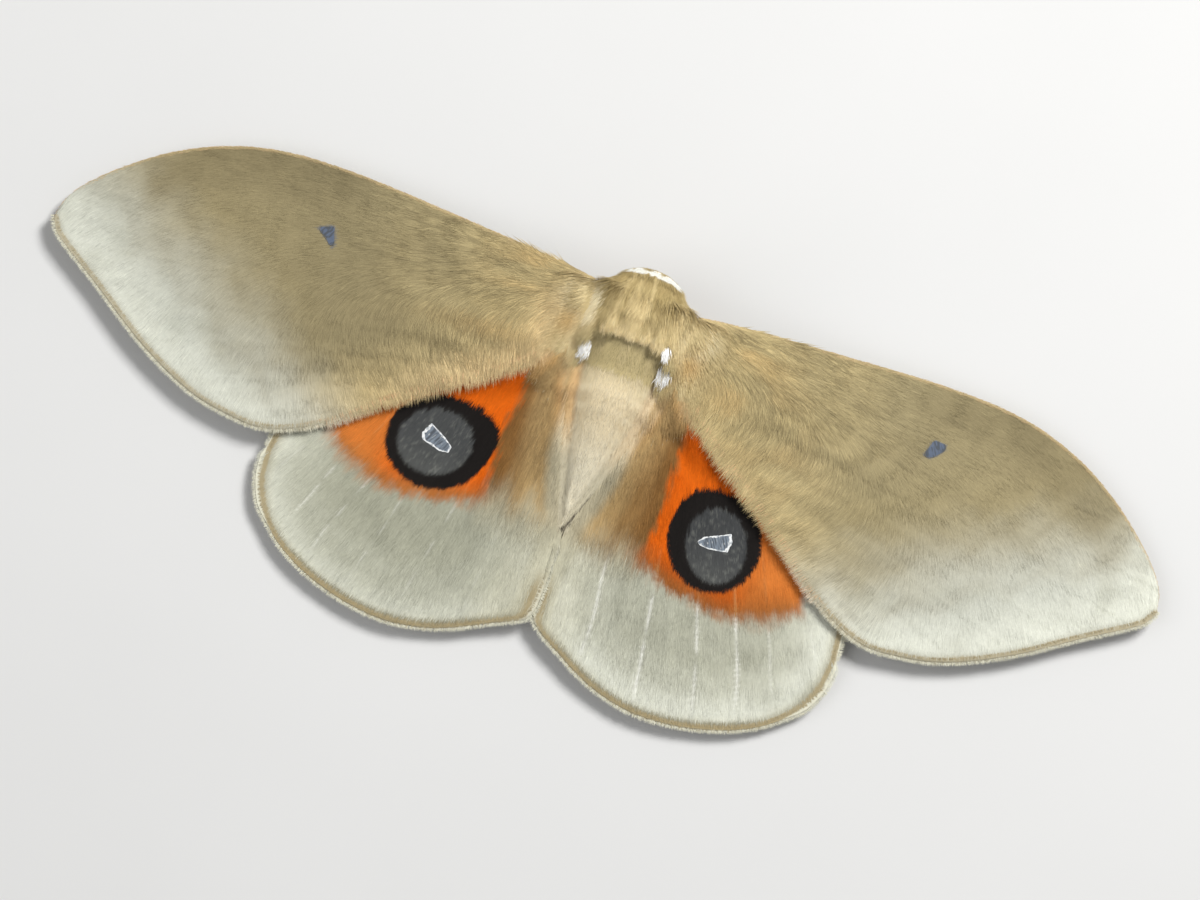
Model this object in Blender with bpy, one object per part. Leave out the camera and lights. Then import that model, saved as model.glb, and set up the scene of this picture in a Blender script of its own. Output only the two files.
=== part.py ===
"""A life-size emperor moth resting on a flat surface with its four wings spread.

The row frame is in metres: +X to the moth's right, +Y ahead of its head, +Z up. The floor is z = 0.
Plan dimensions below are in millimetres about the thorax; ROW_SHIFT then puts the plan's middle at y = 0.
"""

import math

import bmesh
import bpy
import numpy as np
from mathutils import Matrix, Vector

MM = 0.001

# --- driving dimensions, in millimetres ---
FRONT_Y = 9.8             # the white collar's foremost point, ahead of the thorax's middle
REAR_Y = -39.1            # the hindwing's rearmost point
ROW_SHIFT = -(FRONT_Y + REAR_Y) / 2
FLOOR = 0.0

# Wings: the height of the resting membrane falls away from the thorax on a smooth curve.
MARGIN_HEIGHT = 1.2
ROOT_RISE = 5.2
ROOT_RADIUS = 5.0
FALL_LENGTH = 15.0
FALL_CENTRE_Y = 2.0
PLAN_SQUASH = 0.8         # the fall is slower towards head and tail than towards the wing tips
FOREWING_LIFT = 0.95      # forewing's mid-surface above the hindwing's
FOREWING_ROOT_LIFT = 1.3
FOREWING_ROOT_RADIUS = 7.0
FOREWING_ROOT_FADE = 9.0
COSTA_DROOP = 0.45        # the leading edge turns down a little
FOLD_RISE = 1.1           # the hindwing's soft roll beside the abdomen
FOLD_CENTRE = 5.2
FOLD_WIDTH = 2.4
FOLD_LEAN = 0.1           # it runs in towards the abdomen's tip, per millimetre back
FOLD_START_Y = -2.0
FOLD_START_FADE = 4.0
FOLD_END_Y = -20.0
FOLD_END_FADE = 9.0
WING_THICKNESS = 0.55
ROOT_THICKENING = 0.55
FOREWING_SWEEP = {"r": 0.9, "l": -0.9}   # degrees each forewing is turned about its root, in this pose
FOREWING_PIVOT = (7.0, 4.0)

# Outlines of the right wings in plan, (x, y), from the root to the tip.
FOREWING_FRONT = [(6.3, 6.7), (12.0, 7.4), (24.0, 8.3), (36.0, 8.95), (45.0, 8.55), (52.0, 6.7),
                  (58.1, 3.55), (63.6, -0.75), (66.8, -4.3), (67.9, -7.2)]
FOREWING_REAR = [(6.4, 0.9), (7.6, -2.6), (12.0, -6.7), (20.3, -12.5), (29.2, -19.3), (33.0, -21.6),
                 (36.5, -22.8), (40.0, -22.85), (46.1, -21.7), (53.2, -18.4), (60.8, -13.45),
                 (66.4, -9.85), (67.8, -8.05)]
HINDWING_FRONT = [(6.35, 1.3), (9.5, 1.6), (16.0, -1.0), (24.0, -5.5), (31.0, -12.0), (34.4, -18.5),
                  (35.5, -24.6)]
HINDWING_REAR = [(5.5, -2.9), (4.95, -5.5), (4.0, -9.5), (2.5, -15.0), (0.75, -20.6), (0.2, -24.5),
                 (0.3, -32.0), (1.6, -33.9), (4.4, -35.5), (7.9, -37.3), (11.5, -38.5),
                 (15.5, -39.1), (19.9, -38.8), (23.9, -37.9), (27.6, -36.5), (30.9, -34.5),
                 (33.4, -31.8), (35.0, -28.6), (35.45, -25.6)]
WING_STEPS = {"forewing": (36, 8), "hindwing": (30, 8)}   # along the wing, across it

# Body, as stations from front to back: (y, half width, lowest z, highest z), tips of the coat included.
COLLAR = [(9.8, 1.6, 6.7, 8.2), (9.6, 3.1, 6.1, 9.0), (9.3, 4.0, 5.9, 9.6), (8.9, 4.5, 5.9, 9.8)]
THORAX = [(8.5, 5.1, 6.2, 9.9), (7.4, 5.75, 5.85, 10.6), (5.8, 5.9, 4.3, 11.1), (4.5, 5.95, 2.8, 11.3),
          (1.5, 5.9, 2.3, 11.2), (-1.0, 5.4, 2.3, 10.3), (-3.0, 4.6, 2.6, 9.2)]
ABDOMEN = [(-3.3, 4.4, 2.4, 9.1), (-6.5, 4.1, 1.7, 8.6), (-10.0, 3.25, 1.4, 7.5), (-14.0, 2.2, 1.4, 6.1),
           (-17.5, 1.25, 1.5, 4.6), (-20.6, 0.35, 1.9, 3.0)]
FRONT_BEND = 0.06         # the front of the thorax and collar curve back, per millimetre squared
FRONT_BEND_Y = 3.0
FRONT_BEND_FADE = 5.0
HEAD_CENTRE = (0.0, 8.0, 3.5)
HEAD_RADII = (2.35, 1.75, 2.05)
EYE_RADIUS = 1.0
EYE_CENTRE = (2.15, 8.35, 3.5)
EYE_GAP = 0.3
PALP_CENTRE = (0.75, 9.05, 1.05)
PALP_RADII = (0.4, 0.75, 0.4)
TEGULA_CENTRE = (7.15, 4.1, 9.35)
TEGULA_RADII = (1.5, 2.6, 0.6)
TEGULA_TILT = 24.0
BODY_SIDES = 20

# Antennae: a shaft swept out and back under the forewing, with a comb on both sides.
ANTENNA_PATH = [(1.75, 9.0, 5.25), (3.1, 7.8, 4.65), (5.2, 5.9, 4.0), (8.8, 4.3, 3.8), (13.6, 3.3, 3.8)]
ANTENNA_SHAFT = 0.6
ANTENNA_COMB = 1.6
ANTENNA_TEETH = 9
ANTENNA_TOOTH_SLANT = 0.7
ANTENNA_THICKNESS = 0.5

# Legs: hip, knee, ankle, sole and claw points of the right leg, with the leg's radius at each.
SOLE_RADIUS = 0.36
SIX_SIDED = math.cos(math.pi / 6)
SOLE_HEIGHT = SOLE_RADIUS * SIX_SIDED
LEG_RADII = [0.7, 0.75, 0.55, 0.6, 0.42, SOLE_RADIUS, SOLE_RADIUS]
LEGS = {
    "foreleg": [(1.9, 4.6, 1.8), (3.5, 4.7, 2.1), (5.4, 5.0, 2.45), (7.0, 5.4, 1.6), (8.2, 5.7, 0.7),
                (9.4, 6.0, SOLE_HEIGHT), (11.0, 6.4, SOLE_HEIGHT)],
    "midleg": [(2.2, 1.4, 1.5), (4.4, 1.1, 2.2), (6.6, 0.5, 2.9), (8.2, -0.1, 1.8), (9.5, -0.7, 0.75),
               (10.9, -1.3, SOLE_HEIGHT), (12.8, -2.1, SOLE_HEIGHT)],
    "hindleg": [(1.9, -1.6, 1.6), (3.9, -3.1, 2.2), (5.7, -4.7, 2.8), (6.8, -6.6, 1.7), (7.6, -8.2, 0.75),
                (8.3, -9.7, SOLE_HEIGHT), (9.1, -11.7, SOLE_HEIGHT)],
}

# --- colours, as linear RGB, with roughness ---
OLIVE_BUFF = ((0.36, 0.29, 0.155), 0.8)
PALE_GREY = ((0.52, 0.51, 0.41), 0.8)
CREAM = ((0.60, 0.52, 0.38), 0.85)
WHITE_HAIR = ((0.85, 0.84, 0.80), 0.85)
DARK_EYE = ((0.02, 0.014, 0.01), 0.15)
TAWNY = ((0.30, 0.19, 0.085), 0.7)


def clear_scene():
    for found in list(bpy.data.objects):
        bpy.data.objects.remove(found)


def finish_object(name, bm, finish):
    """Makes the named object of a bmesh, in metres and in the row frame, with its own material."""
    bmesh.ops.recalc_face_normals(bm, faces=bm.faces)
    mesh = bpy.data.meshes.new(name)
    bm.to_mesh(mesh)
    bm.free()
    mesh.transform(Matrix.Scale(MM, 4))
    mesh.shade_smooth()
    mesh.set_sharp_from_angle(angle=math.radians(50))
    colour, roughness = finish
    material = bpy.data.materials.new(name + "_coat")
    material.use_nodes = True
    shader = material.node_tree.nodes["Principled BSDF"]
    shader.inputs["Base Color"].default_value = (*colour, 1.0)
    shader.inputs["Roughness"].default_value = roughness
    shader.inputs["Metallic"].default_value = 0.0
    mesh.materials.append(material)
    made = bpy.data.objects.new(name, mesh)
    made.location.y = ROW_SHIFT * MM
    bpy.context.scene.collection.objects.link(made)
    return made


def smooth_path(points, count):
    """count points at even spacing along a Catmull-Rom curve through the given ones."""
    known = np.array(points, float)
    ends = np.vstack([2 * known[0] - known[1], known, 2 * known[-1] - known[-2]])
    fine = []
    for i in range(1, len(ends) - 2):
        before, start, end, after = ends[i - 1:i + 3]
        u = np.linspace(0, 1, 24, endpoint=False)[:, None]
        fine.append(start + 0.5 * u * (end - before
                                       + u * (2 * before - 5 * start + 4 * end - after
                                              + u * (3 * (start - end) + after - before))))
    fine = np.vstack([*fine, known[-1:]])
    along = np.concatenate([[0], np.cumsum(np.linalg.norm(np.diff(fine, axis=0), axis=1))])
    at = np.linspace(0, along[-1], count)
    return np.stack([np.interp(at, along, column) for column in fine.T], axis=1)


def smooth_step(value):
    held = min(1.0, max(0.0, value))
    return held * held * (3 - 2 * held)


def wing_reach(x, y):
    """How far out a plan point of a wing is, for the membrane's fall."""
    return math.hypot(x, PLAN_SQUASH * (y - FALL_CENTRE_Y))


def membrane_height(x, y):
    """How high the resting hindwing's surface is, without its fold."""
    return MARGIN_HEIGHT + ROOT_RISE * math.exp(-(wing_reach(x, y) - ROOT_RADIUS) / FALL_LENGTH)


def hindwing_height(x, y, across):
    """The hindwing's surface, with the roll beside the abdomen. It is the same all the way across."""
    starts = smooth_step((FOLD_START_Y - y) / FOLD_START_FADE)
    ends = smooth_step((y - FOLD_END_Y) / FOLD_END_FADE)
    aside = (x - FOLD_CENTRE + FOLD_LEAN * (FOLD_START_Y - y)) / FOLD_WIDTH
    return membrane_height(x, y) + FOLD_RISE * starts * ends * math.exp(-aside ** 2)


def forewing_height(x, y, across):
    """The forewing's surface, which lies on the hindwing's. across is 0 at the leading edge."""
    at_root = math.exp(-(wing_reach(x, y) - FOREWING_ROOT_RADIUS) / FOREWING_ROOT_FADE)
    lift = FOREWING_LIFT + FOREWING_ROOT_LIFT * at_root
    return membrane_height(x, y) + lift - COSTA_DROOP * (1 - across) ** 6


def swept(points, degrees):
    """The plan points turned about the forewing's pivot."""
    turn = math.radians(degrees)
    px, py = FOREWING_PIVOT
    return [(px + (x - px) * math.cos(turn) - (y - py) * math.sin(turn),
             py + (x - px) * math.sin(turn) + (y - py) * math.cos(turn)) for x, y in points]


def make_wing(kind, side, front, rear, height, finish):
    """A thin closed sheet ruled between its front and rear edges, on the wing's own curved surface."""
    steps, rows = WING_STEPS[kind]
    mirror = 1 if side == "r" else -1
    front_line = smooth_path(front, steps + 1)
    rear_line = smooth_path(rear, steps + 1)
    bm = bmesh.new()
    upper, lower = [], []
    for i in range(steps + 1):
        thick = WING_THICKNESS + ROOT_THICKENING * (1 - i / steps) ** 4
        for j in range(rows + 1):
            across = j / rows
            x, y = front_line[i] * (1 - across) + rear_line[i] * across
            z = height(x, y, across)
            upper.append(bm.verts.new((mirror * x, y, z + thick / 2)))
            lower.append(bm.verts.new((mirror * x, y, z - thick / 2)))
    width = rows + 1
    for i in range(steps):
        for j in range(rows):
            corners = [i * width + j, i * width + j + 1, (i + 1) * width + j + 1, (i + 1) * width + j]
            bm.faces.new([upper[c] for c in corners])
            bm.faces.new([lower[c] for c in reversed(corners)])
    rim = ([i * width for i in range(steps)] + [steps * width + j for j in range(rows)]
           + [i * width + rows for i in range(steps, 0, -1)] + list(range(rows, 0, -1)))
    for here, there in zip(rim, rim[1:] + rim[:1]):
        bm.faces.new([upper[here], upper[there], lower[there], lower[here]])
    return finish_object(f"{kind}_{side}", bm, finish)


def body_ring(bm, y, half_width, low, high):
    """One oval ring of the body, square to Y, curved back at the sides where it is near the front."""
    middle, half_height = (low + high) / 2, (high - low) / 2
    bend = FRONT_BEND * smooth_step((y - FRONT_BEND_Y) / FRONT_BEND_FADE)
    ring = []
    for k in range(BODY_SIDES):
        turn = 2 * math.pi * k / BODY_SIDES
        x = half_width * math.cos(turn)
        ring.append(bm.verts.new((x, y - bend * x * x, middle + half_height * math.sin(turn))))
    return ring


def make_trunk(name, stations, rings, finish):
    """A closed body piece lofted through its stations, with a flat cap at each end."""
    bm = bmesh.new()
    loops = [body_ring(bm, *station) for station in smooth_path(stations, rings)]
    for ahead, behind in zip(loops, loops[1:]):
        for k in range(BODY_SIDES):
            after = (k + 1) % BODY_SIDES
            bm.faces.new([ahead[k], ahead[after], behind[after], behind[k]])
    for loop in (loops[0], loops[-1]):
        middle = sum((v.co for v in loop), Vector()) / BODY_SIDES
        hub = bm.verts.new(middle)
        for k in range(BODY_SIDES):
            bm.faces.new([loop[k], loop[(k + 1) % BODY_SIDES], hub])
    return finish_object(name, bm, finish)


def make_ellipsoid(name, centre, radii, finish, segments=18, rings=11, tilt=0.0):
    """An ellipsoid, tilted about Y by so many degrees."""
    bm = bmesh.new()
    turn = Matrix.Rotation(math.radians(tilt), 4, "Y")
    place = Matrix.Translation(centre) @ turn @ Matrix.Diagonal((*radii, 1.0))
    bmesh.ops.create_uvsphere(bm, u_segments=segments, v_segments=rings, radius=1.0, matrix=place)
    return finish_object(name, bm, finish)


def make_head():
    """The head, with a round socket for each eye."""
    head = make_ellipsoid("head", HEAD_CENTRE, HEAD_RADII, OLIVE_BUFF, 20, 13)
    for side, mirror in (("r", 1), ("l", -1)):
        x, y, z = EYE_CENTRE
        eye_spot = (mirror * x, y, z)
        radius = EYE_RADIUS + EYE_GAP
        cutter = make_ellipsoid(f"socket_cutter_{side}", eye_spot, (radius,) * 3, OLIVE_BUFF, 14, 9)
        cutter.hide_render = True
        cutter.display_type = "WIRE"
        cut = head.modifiers.new(f"socket_{side}", "BOOLEAN")
        cut.operation = "DIFFERENCE"
        cut.solver = "EXACT"
        cut.object = cutter
        make_ellipsoid(f"eye_{side}", eye_spot, (EYE_RADIUS,) * 3, DARK_EYE, 12, 8)


def make_antenna(side):
    """A flat comb: a shaft strip with a slanted tooth on both sides of every other cell, then thickness."""
    mirror = 1 if side == "r" else -1
    cells = 2 * ANTENNA_TEETH + 1
    line = smooth_path(ANTENNA_PATH, cells + 1)
    bm = bmesh.new()
    edges = {1: [], -1: []}
    outward, onward = [], []
    for i, point in enumerate(line):
        ahead = line[min(i + 1, cells)] - line[max(i - 1, 0)]
        along = Vector((ahead[0], ahead[1], ahead[2])).normalized()
        square = along.cross(Vector((0, 0, 1))).normalized()
        outward.append(square)
        onward.append(along)
        for hand in (1, -1):
            x, y, z = Vector(point) + square * hand * ANTENNA_SHAFT / 2
            edges[hand].append(bm.verts.new((mirror * x, y, z)))
    for i in range(cells):
        bm.faces.new([edges[1][i], edges[1][i + 1], edges[-1][i + 1], edges[-1][i]])
        if i % 2 == 0:
            continue
        reach = ANTENNA_COMB * math.sin(math.pi * (i + 1.5) / (cells + 2.5)) ** 0.7 - ANTENNA_SHAFT / 2
        for hand in (1, -1):
            tips = []
            for j in (i, i + 1):
                shift = outward[i] * hand * reach + onward[i] * ANTENNA_TOOTH_SLANT
                root = edges[hand][j].co
                tips.append(bm.verts.new((root.x + mirror * shift.x, root.y + shift.y, root.z + shift.z)))
            bm.faces.new([edges[hand][i], edges[hand][i + 1], tips[1], tips[0]])
    made = finish_object(f"antenna_{side}", bm, TAWNY)
    thicken = made.modifiers.new("thickness", "SOLIDIFY")
    thicken.thickness = ANTENNA_THICKNESS * MM
    thicken.offset = 0.0


def make_leg(kind, side):
    """A six-sided limb along its joints. The last stretch lies on the floor on its flat lower side."""
    mirror = 1 if side == "r" else -1
    joints = [(*point, radius) for point, radius in zip(LEGS[kind], LEG_RADII)]
    line = smooth_path(joints, 15)
    bm = bmesh.new()
    loops = []
    for i, (x, y, z, radius) in enumerate(line.tolist()):
        ahead = line[min(i + 1, len(line) - 1)][:3] - line[max(i - 1, 0)][:3]
        along = Vector(ahead).normalized()
        square = along.cross(Vector((0, 0, 1))).normalized()
        upward = square.cross(along)
        loop = []
        for k in range(6):
            turn = math.pi / 3 * k
            spot = Vector((x, y, z)) + radius * (math.cos(turn) * square + math.sin(turn) * upward)
            loop.append(bm.verts.new((mirror * spot.x, spot.y, max(FLOOR, spot.z))))
        loops.append(loop)
    for before, after in zip(loops, loops[1:]):
        for k in range(6):
            bm.faces.new([before[k], before[(k + 1) % 6], after[(k + 1) % 6], after[k]])
    bm.faces.new(loops[0])
    bm.faces.new(loops[-1])
    return finish_object(f"{kind}_{side}", bm, TAWNY)


def build_moth():
    clear_scene()
    make_trunk("collar", COLLAR, 6, WHITE_HAIR)
    make_trunk("thorax", THORAX, 15, OLIVE_BUFF)
    make_trunk("abdomen", ABDOMEN, 18, CREAM)
    make_head()
    for side, mirror in (("r", 1), ("l", -1)):
        sweep = FOREWING_SWEEP[side]
        make_wing("forewing", side, swept(FOREWING_FRONT, sweep), swept(FOREWING_REAR, sweep),
                  forewing_height, OLIVE_BUFF)
        make_wing("hindwing", side, HINDWING_FRONT, HINDWING_REAR, hindwing_height, PALE_GREY)
        make_antenna(side)
        x, y, z = PALP_CENTRE
        make_ellipsoid(f"palp_{side}", (mirror * x, y, z), PALP_RADII, TAWNY, 8, 6)
        x, y, z = TEGULA_CENTRE
        make_ellipsoid(f"tegula_{side}", (mirror * x, y, z), TEGULA_RADII, OLIVE_BUFF, 14, 8,
                       tilt=mirror * TEGULA_TILT)
        for kind in LEGS:
            make_leg(kind, side)


build_moth()
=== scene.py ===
"""The looks of a life-size emperor moth that rests with its wings spread: skin, scales, fur and limbs.

Lengths are in millimetres about the thorax, as the moth's solids have them, and become metres in the row
frame when a mesh is made. Wing shapes and markings are worked out for the right side and mirrored.
"""

import math

import bmesh
import bpy
import numpy as np
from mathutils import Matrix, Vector
from mathutils.bvhtree import BVHTree


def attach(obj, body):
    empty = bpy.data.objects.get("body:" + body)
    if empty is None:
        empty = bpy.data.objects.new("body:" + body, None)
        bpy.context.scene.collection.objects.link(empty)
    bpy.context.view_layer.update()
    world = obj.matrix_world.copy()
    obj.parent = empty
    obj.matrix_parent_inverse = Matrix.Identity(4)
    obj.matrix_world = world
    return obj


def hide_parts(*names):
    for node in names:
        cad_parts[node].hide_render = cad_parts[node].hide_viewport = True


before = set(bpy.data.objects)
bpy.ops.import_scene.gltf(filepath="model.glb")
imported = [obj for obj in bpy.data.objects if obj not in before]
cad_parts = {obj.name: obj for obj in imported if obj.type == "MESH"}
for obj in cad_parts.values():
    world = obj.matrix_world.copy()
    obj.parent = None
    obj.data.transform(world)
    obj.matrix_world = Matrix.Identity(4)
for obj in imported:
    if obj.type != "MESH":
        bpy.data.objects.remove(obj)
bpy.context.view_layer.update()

MM = 0.001
FRONT_Y = 9.8
REAR_Y = -39.1
ROW_SHIFT = -(FRONT_Y + REAR_Y) / 2
COAT_SHARE = 1.0    # how much of the coat is made
SIDES = (("r", 1), ("l", -1))

# --- shapes of the solids that the looks follow, in millimetres ---
MARGIN_HEIGHT = 1.2
ROOT_RISE = 5.2
ROOT_RADIUS = 5.0
FALL_LENGTH = 15.0
FALL_CENTRE_Y = 2.0
PLAN_SQUASH = 0.8
FOREWING_LIFT = 0.95
FOREWING_ROOT_LIFT = 1.3
FOREWING_ROOT_RADIUS = 7.0
FOREWING_ROOT_FADE = 9.0
COSTA_DROOP = 0.45
FOLD_RISE = 1.1
FOLD_CENTRE = 5.2
FOLD_WIDTH = 2.4
FOLD_LEAN = 0.1
FOLD_START_Y = -2.0
FOLD_START_FADE = 4.0
FOLD_END_Y = -20.0
FOLD_END_FADE = 9.0
FOREWING_SWEEP = {"r": 0.9, "l": -0.9}
FOREWING_PIVOT = (7.0, 4.0)
FOREWING_FRONT = [(6.3, 6.7), (12.0, 7.4), (24.0, 8.3), (36.0, 8.95), (45.0, 8.55), (52.0, 6.7),
                  (58.1, 3.55), (63.6, -0.75), (66.8, -4.3), (67.9, -7.2)]
FOREWING_REAR = [(6.4, 0.9), (7.6, -2.6), (12.0, -6.7), (20.3, -12.5), (29.2, -19.3), (33.0, -21.6),
                 (36.5, -22.8), (40.0, -22.85), (46.1, -21.7), (53.2, -18.4), (60.8, -13.45),
                 (66.4, -9.85), (67.8, -8.05)]
HINDWING_FRONT = [(6.35, 1.3), (9.5, 1.6), (16.0, -1.0), (24.0, -5.5), (31.0, -12.0), (34.4, -18.5),
                  (35.5, -24.6)]
HINDWING_REAR = [(5.5, -2.9), (4.95, -5.5), (4.0, -9.5), (2.5, -15.0), (0.75, -20.6), (0.2, -24.5),
                 (0.3, -32.0), (1.6, -33.9), (4.4, -35.5), (7.9, -37.3), (11.5, -38.5),
                 (15.5, -39.1), (19.9, -38.8), (23.9, -37.9), (27.6, -36.5), (30.9, -34.5),
                 (33.4, -31.8), (35.0, -28.6), (35.45, -25.6)]

WING_EDGES = {"forewing": (FOREWING_FRONT, FOREWING_REAR), "hindwing": (HINDWING_FRONT, HINDWING_REAR)}

# --- colours, as linear RGB ---
OLIVE = (0.315, 0.260, 0.140)
OLIVE_DARK = (0.220, 0.180, 0.095)
BASAL_BUFF = (0.460, 0.365, 0.180)
BUFF = (0.600, 0.465, 0.230)
OUTER_GREY = (0.500, 0.505, 0.430)
WHITISH = (0.700, 0.705, 0.605)
MARGIN_DARK = (0.250, 0.225, 0.145)
MARGIN_TAN = (0.440, 0.365, 0.215)
MARGIN_OCHRE = (0.370, 0.295, 0.160)
FRINGE_CREAM = (0.690, 0.670, 0.530)
COSTA_OCHRE = (0.470, 0.365, 0.190)
ORANGE = (0.680, 0.120, 0.003)
ORANGE_PALE = (0.600, 0.190, 0.035)
ORANGE_DULL = (0.400, 0.150, 0.038)
RING_BLACK = (0.010, 0.008, 0.007)
DISC_GREY = (0.046, 0.048, 0.050)
WINDOW_BLUE = (0.190, 0.225, 0.265)
WINDOW_DEEP = (0.075, 0.085, 0.100)
WINDOW_RIM = (0.800, 0.810, 0.800)
DISCAL_BLUE = (0.105, 0.130, 0.180)
WHITE = (0.900, 0.890, 0.820)
# The white tufts' own white, brightened with painted light against the shade they lie in.
WHITE_WITH_PAINTED_LIGHT = (1.000, 0.985, 0.940)
HIND_GREY = (0.350, 0.348, 0.262)
HIND_PALE = (0.530, 0.530, 0.430)
HIND_BUFF = (0.540, 0.510, 0.365)
FOLD_BROWN = (0.235, 0.120, 0.038)
FOLD_DARK = (0.215, 0.100, 0.026)
FOLD_LIGHT = (0.300, 0.175, 0.062)
FOLD_LOW = (0.440, 0.400, 0.275)
FOLD_TAN = (0.460, 0.310, 0.135)
FOLD_PEACH = (0.640, 0.400, 0.165)
# The rear edge's own peach tint, made paler with painted light where the wing slopes away from the light.
TRAIL_PEACH_WITH_PAINTED_LIGHT = (0.800, 0.600, 0.320)
TRAIL_TIP = (0.830, 0.500, 0.280)
FOLD_CREAM = (0.690, 0.580, 0.390)
UNDER_GREY = (0.430, 0.400, 0.300)
UNDER_BROWN = (0.250, 0.190, 0.110)
THORAX_OLIVE = (0.410, 0.310, 0.135)
THORAX_GOLD = (0.700, 0.560, 0.290)
THORAX_PALE = (0.740, 0.610, 0.350)
METATHORAX = (0.560, 0.455, 0.225)
WISP_PALE = (0.930, 0.830, 0.570)
ORANGE_TINT = (0.560, 0.320, 0.100)
ROOT_PEACH = (0.620, 0.400, 0.165)
ABDOMEN_CREAM = (0.820, 0.700, 0.470)
ABDOMEN_PALE = (0.830, 0.760, 0.580)
ABDOMEN_GREY = (0.520, 0.460, 0.340)
BELLY_BUFF = (0.560, 0.470, 0.300)
SIDE_GREY = (0.600, 0.545, 0.395)
# Painted shadow: the dark line in the gap between the abdomen's tip and the right hindwing.
PAINTED_GAP_SHADOW = (0.080, 0.065, 0.045)
LIMB_TAWNY = (0.330, 0.200, 0.085)
CLAW_BROWN = (0.045, 0.022, 0.012)
EYE_BROWN = (0.030, 0.016, 0.008)
FACET_LOW = (0.055, 0.030, 0.014)
FACET_HIGH = (0.012, 0.006, 0.003)
FLOOR_LOW = (0.660, 0.655, 0.640)
FLOOR_HIGH = (0.710, 0.705, 0.690)
SKY = (0.950, 0.970, 1.000)


# ---------------------------------------------------------------- numbers

def rows_at(at, known, rows):
    """Rows of numbers, interpolated between the places where they are known."""
    return np.stack([np.interp(at, known, column) for column in rows.T], axis=1)


def along_line(points):
    """How far along a line of points each one is."""
    return np.concatenate([[0], np.cumsum(np.linalg.norm(np.diff(points, axis=0), axis=1))])


def smooth_path(points, count):
    """count points at even spacing along a Catmull-Rom curve through the given ones."""
    known = np.array(points, float)
    ends = np.vstack([2 * known[0] - known[1], known, 2 * known[-1] - known[-2]])
    fine = []
    for i in range(1, len(ends) - 2):
        before, start, end, after = ends[i - 1:i + 3]
        u = np.linspace(0, 1, 24, endpoint=False)[:, None]
        fine.append(start + 0.5 * u * (end - before
                                       + u * (2 * before - 5 * start + 4 * end - after
                                              + u * (3 * (start - end) + after - before))))
    fine = np.vstack([*fine, known[-1:]])
    along = along_line(fine)
    return rows_at(np.linspace(0, along[-1], count), along, fine)


def ease(value):
    """0 up to 0, 1 from 1 on, and a soft step between."""
    held = np.clip(value, 0, 1)
    return held * held * (3 - 2 * held)


def bump(value, centre, width):
    return np.exp(-((value - centre) / width) ** 2)


def mix(a, b, share):
    """Colours or rows of colours, blended by a share for each row."""
    share = np.asarray(share)[..., None]
    return np.asarray(a) * (1 - share) + np.asarray(b) * share


def layered(colour, *layers):
    """A colour with layers over it, each given as its tint and the share of it that shows."""
    for tint, share in layers:
        colour = mix(colour, tint, share)
    return colour


def lattice(ix, iy, seed):
    value = np.sin(ix * 127.1 + iy * 311.7 + seed * 74.7) * 43758.5453
    return 2 * (value - np.floor(value)) - 1


def noise(x, y, seed):
    """Smooth noise from -1 to 1, with one bump to a unit."""
    ix, iy = np.floor(x), np.floor(y)
    u, v = ease(x - ix), ease(y - iy)
    near = lattice(ix, iy, seed) * (1 - u) + lattice(ix + 1, iy, seed) * u
    far = lattice(ix, iy + 1, seed) * (1 - u) + lattice(ix + 1, iy + 1, seed) * u
    return near * (1 - v) + far * v


def rough_noise(x, y, seed):
    """Three noises over each other, each twice as fine and half as strong as the one before."""
    return sum(noise(x * 2 ** k, y * 2 ** k, seed + k) / 2 ** k for k in range(3)) / 1.6


def unit(rows):
    return rows / np.maximum(np.linalg.norm(rows, axis=-1, keepdims=True), 1e-9)


def tangent(directions, normals):
    return unit(directions - normals * np.sum(directions * normals, axis=1, keepdims=True))


def edge_distance(x, y, line):
    """How far each point is from a polyline."""
    flat = np.stack([np.ravel(x), np.ravel(y)], axis=1)
    best = np.full(len(flat), 1e9)
    for (ax, ay), (bx, by) in zip(line[:-1], line[1:]):
        run = np.array([bx - ax, by - ay])
        share = np.clip((flat - (ax, ay)) @ run / max(run @ run, 1e-12), 0, 1)
        best = np.minimum(best, np.linalg.norm(flat - (ax, ay) - share[:, None] * run, axis=1))
    return best.reshape(np.shape(x))


def polygon_depth(x, y, corners):
    """How deep inside a polygon each point is. It is negative outside."""
    closed = [*corners, corners[0]]
    inside = np.zeros(np.shape(x), bool)
    for (ax, ay), (bx, by) in zip(closed[:-1], closed[1:]):
        crosses = (ay > y) != (by > y)
        inside ^= crosses & (x < (bx - ax) * (y - ay) / (by - ay if by != ay else 1e-12) + ax)
    return np.where(inside, 1, -1) * edge_distance(x, y, closed)


# ---------------------------------------------------------------- meshes and materials

def face_outwards(mesh):
    bm = bmesh.new()
    bm.from_mesh(mesh)
    bmesh.ops.recalc_face_normals(bm, faces=bm.faces)
    bm.to_mesh(mesh)
    bm.free()


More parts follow.
